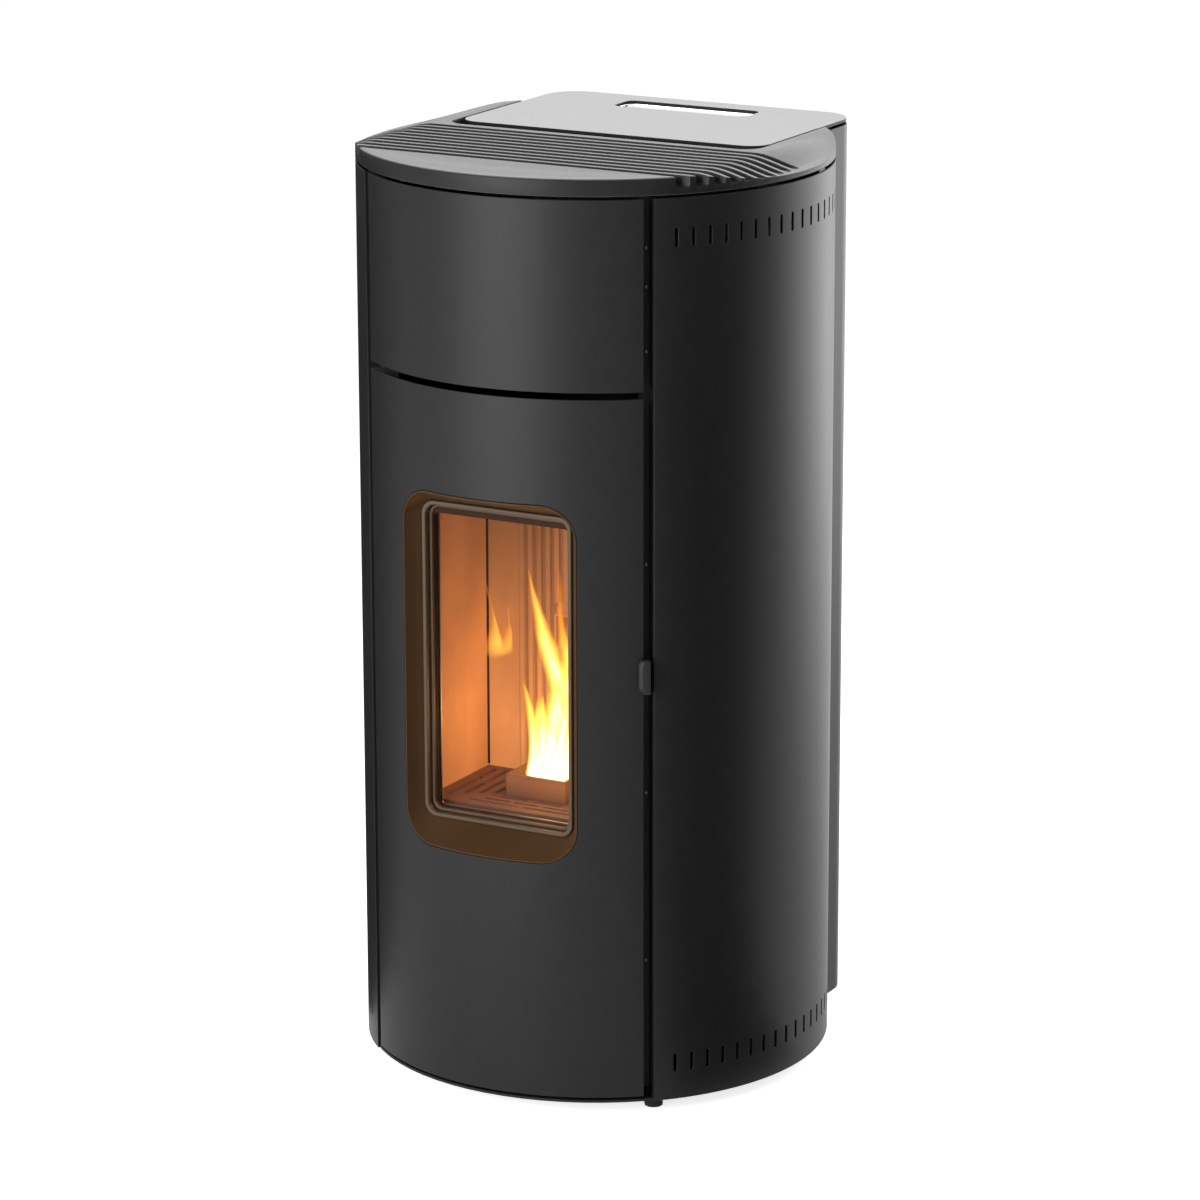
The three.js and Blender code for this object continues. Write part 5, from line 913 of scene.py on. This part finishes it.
def lid_loop(grow):
    """The lid's outline: small corners in front and the rear box's corners behind."""
    loop = []
    corners = [(LID_HALF_WIDTH - REAR_CORNER, REAR_FACE - REAR_CORNER, REAR_CORNER, 0),
               (REAR_CORNER - LID_HALF_WIDTH, REAR_FACE - REAR_CORNER, REAR_CORNER, 90),
               (LID_CORNER - LID_HALF_WIDTH, LID_FRONT + LID_CORNER, LID_CORNER, 180),
               (LID_HALF_WIDTH - LID_CORNER, LID_FRONT + LID_CORNER, LID_CORNER, 270)]
    for x, y, corner, start in corners:
        loop.extend(arc(x, y, corner + grow, start, start + 90, 12))
    return loop


def pull_loop(grow):
    """The outline of the lid's finger opening."""
    return rectangle_loop(-PULL_HALF_LENGTH - grow, PULL_HALF_LENGTH + grow, PULL_FRONT - grow,
                          PULL_FRONT + PULL_WIDTH + grow, PULL_CORNER + grow, 8)


def dish_mesh():
    """The finger dish: a rim under the lid and a shallow round-edged bowl."""
    top = TOP_FACE - LID_THICKNESS - 0.3
    bowl = top - PULL_DEPTH + PULL_SHEET
    # each ring's growth over the opening and its height, down the bowl and back up outside
    inside = [(4, top), (0.3, top), (0, top - 0.4), (0, bowl + 2.5), (-0.8, bowl + 0.8),
              (-2.8, bowl)]
    outside = [(-3, bowl - PULL_SHEET), (1.2, bowl - PULL_SHEET), (2, bowl - 1.2),
               (2, top - PULL_SHEET), (4, top - PULL_SHEET)]
    rings = [[(x, y, z) for x, y in pull_loop(grow)] for grow, z in inside + outside]
    count = len(rings[0])
    points = [point for ring in rings for point in ring]
    floor_ring = len(inside) - 1
    faces = []
    for i in range(len(rings)):
        if i != floor_ring:
            faces.extend(band_faces(i, (i + 1) % len(rings), count))
    faces.append(cap_face(floor_ring, count))
    faces.append(cap_face(floor_ring + 1, count))
    return smooth(closed_mesh("finger_dish", points, faces), 40)


slab_piece()

lid_mesh = sheet_mesh("lid_plate", lid_loop(-EDGE_ROUND), [pull_loop(EDGE_ROUND)], lid_place,
                      LID_THICKNESS)
add_piece("lid_plate", lid_mesh, "lid", lid_paint, ["hopper_lid"])
# black on the lid's edges and underside
paint_faces(lid_mesh, deep_black, lambda centre, normal: normal.z < 0.3)

add_piece("finger_dish", dish_mesh(), "lid", bright_steel, ["lid_pull_dish"])


# ---------------------------------------------------------------- window


def frame_mesh():
    """The glass frame: a wide rounded bead and a narrower one set deeper."""
    back = FRAME_FACE + FRAME_DEPTH
    outer = FRAME_FACE + BEAD_ROUND
    inner = FRAME_FACE + BEAD_DROP + INNER_BEAD_ROUND
    step = BEAD_WIDTH + BEAD_GAP
    # inset from the frame's outside against depth
    profile = [(0, back), (0, outer),
               *arc(BEAD_ROUND, outer, BEAD_ROUND, 198, 270, 4),
               *arc(BEAD_WIDTH - BEAD_ROUND, outer, BEAD_ROUND, 270, 360, 5),
               (BEAD_WIDTH, inner + INNER_BEAD_ROUND), (step, inner + INNER_BEAD_ROUND),
               (step, inner),
               *arc(step + INNER_BEAD_ROUND, inner, INNER_BEAD_ROUND, 202.5, 270, 3),
               *arc(FRAME_INSET - INNER_BEAD_ROUND, inner, INNER_BEAD_ROUND, 270, 360, 4),
               (FRAME_INSET, back)]
    rings = []
    for inset, y in profile:
        loop = round_outline(FRAME_HALF_WIDTH - inset, WINDOW_MIDDLE - FRAME_HALF_HEIGHT + inset,
                             WINDOW_MIDDLE + FRAME_HALF_HEIGHT - inset,
                             max(FRAME_CORNER - 0.6 * inset, 3), 10)
        rings.append([(x, y, z) for x, z in loop])
    return smooth(rings_mesh("bead_frame", rings), 50)


def surround_ring(inset, t):
    """A ring of the window's surround, from its mouth at t = 0 to the frame at t = 1."""
    edge = SURROUND_GAP + inset
    mouth = round_outline(WINDOW_HALF_WIDTH - edge, RECESS_MIDDLE - WINDOW_HALF_HEIGHT + edge,
                          RECESS_MIDDLE + WINDOW_HALF_HEIGHT - edge, WINDOW_CORNER - edge, 12, 24)
    grow = 0.3 + SURROUND_WALL - inset
    throat = round_outline(FRAME_HALF_WIDTH + grow, WINDOW_MIDDLE - FRAME_HALF_HEIGHT - grow,
                           WINDOW_MIDDLE + FRAME_HALF_HEIGHT + grow, FRAME_CORNER + grow, 12, 24)
    depth = t + SURROUND_BULGE * math.sin(math.pi * t)
    points = []
    for (x0, z0), (x1, z1) in zip(mouth, throat):
        y0 = -math.sqrt((CASING_RADIUS - 0.3) ** 2 - x0 ** 2)
        y1 = FRAME_FACE + SURROUND_SETBACK
        points.append((x0 + (x1 - x0) * t, y0 + (y1 - y0) * depth, z0 + (z1 - z0) * t))
    return points


def surround_mesh():
    """The tapered recess between the door's skin and the glass frame."""
    steps = 8
    rings = [surround_ring(SURROUND_WALL, i / steps) for i in range(steps + 1)]
    rings.extend(surround_ring(0, i / steps) for i in range(steps, -1, -1))
    return smooth(rings_mesh("window_recess", rings), 50)


add_piece("bead_frame", frame_mesh(), "fire_door", bronze, ["glass_frame"])
add_piece("window_recess", surround_mesh(), "fire_door", brown_paint, ["window_surround"])


# ---------------------------------------------------------------- screws, latch and feet


def dome_mesh(name, centre, outward, radius, height):
    """A small round screw head on an upright face."""
    rings = []
    normal = Vector(outward).normalized()
    side = Vector((0, 0, 1))
    across = normal.cross(side).normalized()
    for share, rise in ((1, -0.3), (1, 0.2), (0.85, 0.6), (0.55, 0.88), (0.01, 1)):
        middle = Vector(centre) + normal * (height * rise)
        rings.append([tuple(middle + across * x + side * y)
                      for x, y in circle_loop(0, 0, radius * share, 20)])
    return smooth(rings_mesh(name, rings, closed=False), 60)


def grip_rings():
    """The latch's grip: a chamfered section that draws in at both ends."""
    low, high = LATCH_MIDDLE - LATCH_LENGTH / 2, LATCH_MIDDLE + LATCH_LENGTH / 2
    face = -CASING_RADIUS - LATCH_REACH
    back = -CASING_RADIUS - 1
    section = [(-LATCH_SIDE, back), (-LATCH_SIDE, back - 6.5), (3 - LATCH_SIDE, face),
               (1.4, face), (2, face + 0.6), (2, back)]
    rings = []
    for z, inset in ((low, 6), (low + 5, 1.2), (low + 7, 0), (high - 7, 0), (high - 4, 0.6),
                     (high, 3)):
        rings.append([(x + inset * 0.9 if x < -4 else x, y + inset * 0.15 if y < back else y, z)
                      for x, y in section])
    return rings


def turned_rings(rings, angle):
    """Rings turned about the casing's axis."""
    cosine, sine = math.cos(math.radians(angle)), math.sin(math.radians(angle))
    return [[(x * cosine - y * sine, x * sine + y * cosine, z) for x, y, z in ring]
            for ring in rings]


for count, height in enumerate(SEAM_SCREW_HEIGHTS, 1):
    outward = polar(1, SEAM_SCREW_PLACE[1])
    head = dome_mesh("seam_screw", (*polar(*SEAM_SCREW_PLACE), height), (*outward, 0), 2.4, 1.2)
    add_piece(f"seam_screw_{count}", head, "casing", screw_steel)

cover_screws = [(side * COVER_SCREW_X, REAR_FACE, height) for side in (-1, 1)
                for height in COVER_SCREW_HEIGHTS]
for count, place in enumerate(cover_screws, 1):
    head = dome_mesh("cover_screw", place, (0, 1, 0), 4, 1.6)
    add_piece(f"cover_screw_{count}", head, "casing", screw_steel)

grip_mesh = rings_mesh("latch_grip", turned_rings(grip_rings(), LATCH_ANGLE), closed=False)
grip = add_piece("latch_grip", grip_mesh, "latch", latch_paint, ["latch_handle"])
round_edges(grip, 0.7, 3, 20)
settle(grip)
smooth(grip.data, 40)

arm_loop = [(-1, LATCH_ARM_Y[0]), (1, LATCH_ARM_Y[0]), (1, LATCH_ARM_Y[1]),
            (-1, LATCH_ARM_Y[1])]
arm_rings = [[(x, y, z) for x, y in arm_loop]
             for z in (LATCH_MIDDLE - LATCH_ARM_HALF_HEIGHT, LATCH_MIDDLE + LATCH_ARM_HALF_HEIGHT)]
arm_mesh = rings_mesh("latch_arm", turned_rings(arm_rings, LATCH_ANGLE), closed=False)
add_piece("latch_arm", smooth(arm_mesh), "latch", deep_black)

FOOT_PROFILE = [(0, 0), (9.5, 0), (10.7, 0.7), (11, 2), (11, 8), (10.4, 9.4), (8, 12), (5, 12.4),
                (5, 33), (0, 33)]
FOOT_PLACES = {"foot_front_left": polar(FRONT_FOOT_PLACE[0], -FRONT_FOOT_PLACE[1]),
               "foot_front_right": polar(*FRONT_FOOT_PLACE),
               "foot_rear_left": (-REAR_FOOT_X, REAR_FOOT_Y),
               "foot_rear_right": (REAR_FOOT_X, REAR_FOOT_Y)}
for name, place in FOOT_PLACES.items():
    add_piece("pad_" + name, smooth(lathe_mesh("pad", place, FOOT_PROFILE, 40), 40), name,
              rubber, [name])


# ---------------------------------------------------------------- fire


def joint_mesh(name, side):
    """A dark strip of painted shade in the joint of a rear corner, with a turned edge along it."""
    edge = side * (FIREBOX_HALF_WIDTH - 1)
    loop = [(edge, JOINT_FRONT), (edge - side * JOINT_WIDTH, JOINT_FRONT),
            (edge - side * (JOINT_WIDTH + 1), JOINT_BACK), (edge, JOINT_BACK)]
    return smooth(prism_mesh(name, loop, GRATE_TOP + 1, LINER_TOP - 0.5))


# painted shade: dark strips in both rear corner joints
for name, side in (("corner_joint_left", -1), ("corner_joint_right", 1)):
    add_piece(name, joint_mesh(name, side), "casing", gap_shade)


def tongue_mesh(name, foot, height, width, sway, lean, facing, waves, warm, density):
    """One tongue of flame: an upright ribbon that narrows, sways and fades at its edges."""
    rows, across = 36, 12
    faint = density < 1
    turn = math.radians(facing)
    side = (math.cos(turn), math.sin(turn))
    points, faces, heat_and_firelight, body = [], [], [], []
    for i in range(rows + 1):
        t = i / rows
        shape = min(1, t * 6 + 0.55) * (1 - t) ** 0.75
        shape *= 1 + 0.25 * math.sin(waves * t * 5 + foot[0])
        start = min(1, t * 12 + 0.5)
        if faint and t < 0.31:
            start = math.sin(math.pi * min(1, 1.6 * t))
        drift = sway * math.sin(waves * t * 3.1 + foot[1] * 0.1) * t + lean * t * t
        z = foot[2] + height * t
        for j in range(across + 1):
            u = 2 * j / across - 1
            reach = drift + width * shape * u / 2
            fold = 5 * math.sin(4 * t + 2 * u)
            points.append(row(foot[0] + side[0] * reach - side[1] * fold,
                              foot[1] + side[1] * reach + side[0] * fold, z))
            core = 1 - abs(u) ** 2.2
            heat_and_firelight.append(max(0.0, min(1.0, warm * (1 - 0.75 * t) * (0.35 + 0.65 * core))))
            body.append(max(0.0, min(1.0, density * core * start * (1 - t) ** 0.45)))
    for i in range(rows):
        for j in range(across):
            a = i * (across + 1) + j
            faces.append((a, a + 1, a + across + 2, a + across + 1))
    mesh = bpy.data.meshes.new(name)
    mesh.from_pydata(points, [], faces)
    layer = mesh.uv_layers.new(name="heat_and_body")
    for corner in mesh.loops:
        i = corner.vertex_index
        layer.data[corner.index].uv = (heat_and_firelight[i], body[i])
    mesh.shade_smooth()
    return mesh


# foot, height, width, sway, lean, facing, waves, warmth, density; the faint ones are reflections
TONGUES = [
    ((-22, -112, 352), 125, 30, 4, -10, 28, 1.0, 1.25, 1.6),
    ((-10, -110, 350), 110, 46, 4, 0, 28, 1.3, 1.6, 1.8),
    ((4, -110, 350), 140, 52, 5, 4, 28, 0.9, 1.7, 2.0),
    ((20, -112, 350), 150, 46, 4, 6, 28, 1.2, 1.7, 2.0),
    ((30, -108, 352), 130, 36, 4, 4, 28, 1.5, 1.6, 1.8),
    ((16, -108, 395), 225, 40, 10, -44, 28, 1.5, 1.1, 1.4),
    ((30, -110, 420), 205, 32, 8, -26, 28, 1.9, 0.8, 1.2),
    ((-16, -112, 352), 105, 30, 6, 4, 118, 1.2, 1.4, 1.6),
    ((10, -116, 350), 135, 40, 6, 6, 118, 1.0, 1.6, 1.8),
    ((20, -100, 350), 125, 38, 6, -6, 75, 1.4, 1.6, 1.8),
    ((-106, -60, 478), 92, 26, 3, -8, 0, 1.6, 0.6, 0.7),
    ((-90, -61, 484), 62, 22, 3, 6, 0, 1.2, 0.55, 0.6),
]
for count, tongue in enumerate(TONGUES, 1):
    name = f"flame_{count}"
    add_piece(name, tongue_mesh(name, *tongue), "casing" if tongue[-1] < 1 else "pot", flame)


# ---------------------------------------------------------------- camera, light and floor


def add_camera():
    """The camera that saw the stove, turned by its azimuth, yaw, pitch and roll."""
    data = bpy.data.cameras.new("camera")
    data.lens = CAMERA_LENS
    data.sensor_width = 36
    data.clip_end = 50
    camera = link("camera", data)
    spot = polar(CAMERA_DISTANCE, CAMERA_AZIMUTH)
    turn = (Matrix.Rotation(math.radians(CAMERA_AZIMUTH) - CAMERA_YAW, 4, "Z")
            @ Matrix.Rotation(math.pi / 2 - CAMERA_PITCH, 4, "X")
            @ Matrix.Rotation(CAMERA_ROLL, 4, "Z"))
    camera.matrix_world = Matrix.Translation(row(spot[0], spot[1], CAMERA_HEIGHT)) @ turn
    bpy.context.scene.camera = camera


def area_light(name, azimuth, distance, height, width, tall, power, target=(0, 0, 0.6)):
    """A rectangular lamp aimed at the stove; lengths in metres, power in watts."""
    data = bpy.data.lights.new(name, "AREA")
    data.shape = "RECTANGLE"
    data.size = width
    data.size_y = tall
    data.energy = power
    light = link(name, data)
    x, y = polar(distance, azimuth)
    light.location = (x, y, height)
    direction = Vector(target) - light.location
    light.rotation_euler = direction.to_track_quat("-Z", "Y").to_euler()


def fire_light():
    """The fire's own light, just over the burn pot."""
    data = bpy.data.lights.new("fire_light", "POINT")
    data.energy = 1.2
    data.shadow_soft_size = 0.03
    data.color = (1.0, 0.5, 0.18)
    link("fire_light", data).location = row(*FIRE_PLACE)


def backdrop_rays(nodes, links):
    """1 for rays that show the backdrop: seen directly, mirrored or through glass."""
    path = nodes.new("ShaderNodeLightPath")
    seen = math_node(nodes, links, "MAXIMUM", path.outputs["Is Camera Ray"],
                     path.outputs["Is Glossy Ray"])
    return math_node(nodes, links, "MAXIMUM", seen, path.outputs["Is Transmission Ray"])


def world():
    """A white backdrop for the camera, and a studio that is brighter to the right and behind."""
    made = bpy.data.worlds.new("studio")
    bpy.context.scene.world = made
    made.use_nodes = True
    nodes, links = made.node_tree.nodes, made.node_tree.links
    background = nodes["Background"]
    place = nodes.new("ShaderNodeTexCoord")
    dot = nodes.new("ShaderNodeVectorMath")
    dot.operation = "DOT_PRODUCT"
    dot.inputs[1].default_value = (0.42, 0.85, 0.3)
    links.new(place.outputs["Generated"], dot.inputs[0])
    studio = number_range(nodes, links, dot.outputs["Value"], 0.2, 0.6, -0.1, 0.9)
    choice = nodes.new("ShaderNodeMix")
    choice.data_type = "FLOAT"
    links.new(backdrop_rays(nodes, links), choice.inputs["Factor"])
    links.new(studio, choice.inputs["A"])
    choice.inputs["B"].default_value = 1.0
    links.new(choice.outputs["Result"], background.inputs["Strength"])
    background.inputs["Color"].default_value = (1, 1, 1, 1)


def floor():
    """A white floor that glows for the rays that show the backdrop."""
    mesh = bpy.data.meshes.new("floor")
    mesh.from_pydata([(-15, -15, 0), (15, -15, 0), (15, 25, 0), (-15, 25, 0)], [], [(0, 1, 2, 3)])
    made, nodes, links, shader = material("floor_white")
    shader.inputs["Base Color"].default_value = (0.8, 0.8, 0.8, 1)
    shader.inputs["Roughness"].default_value = 0.9
    shader.inputs["Specular IOR Level"].default_value = 0.0
    glow = nodes.new("ShaderNodeEmission")
    strength = math_node(nodes, links, "MULTIPLY", backdrop_rays(nodes, links), FLOOR_GLOW)
    links.new(strength, glow.inputs["Strength"])
    both = nodes.new("ShaderNodeAddShader")
    links.new(shader.outputs["BSDF"], both.inputs[0])
    links.new(glow.outputs["Emission"], both.inputs[1])
    links.new(both.outputs["Shader"], nodes["Material Output"].inputs["Surface"])
    mesh.materials.append(made)
    link("floor", mesh)


def dark_screen(name, start, end):
    """A curved screen that only mirrors see, with a skirt on the floor before it."""
    points, faces = [], []
    for i in range(SCREEN_STEPS + 1):
        angle = start + (end - start) * i / SCREEN_STEPS
        for radius, z in ((SCREEN_SKIRT, 4), (SCREEN_RADIUS, 5), (SCREEN_RADIUS, SCREEN_TOP)):
            points.append(row(*polar(radius, angle), z))
    for i in range(SCREEN_STEPS):
        for k in (0, 1):
            faces.append((3 * i + k, 3 * i + 3 + k, 3 * i + 4 + k, 3 * i + 1 + k))
    mesh = bpy.data.meshes.new(name)
    mesh.from_pydata(points, [], faces)
    mesh.materials.append(deep_black)
    screen = link(name, mesh)
    screen.visible_camera = False
    screen.visible_diffuse = False
    screen.visible_shadow = False


add_camera()
area_light("front_light", -14, 3.2, 1.2, 2.1, 2.6, 150)
area_light("right_light", 154, 2.8, 1.1, 2.6, 2.6, 84)
area_light("top_light", -150, 1.8, 3.0, 2.6, 2.6, 26, (0, 0, 1.1))
fire_light()
world()
floor()
dark_screen("dark_screen_left", -70, -154)
dark_screen("dark_screen_right", 52, 98)
bpy.context.scene.view_settings.view_transform = "Standard"
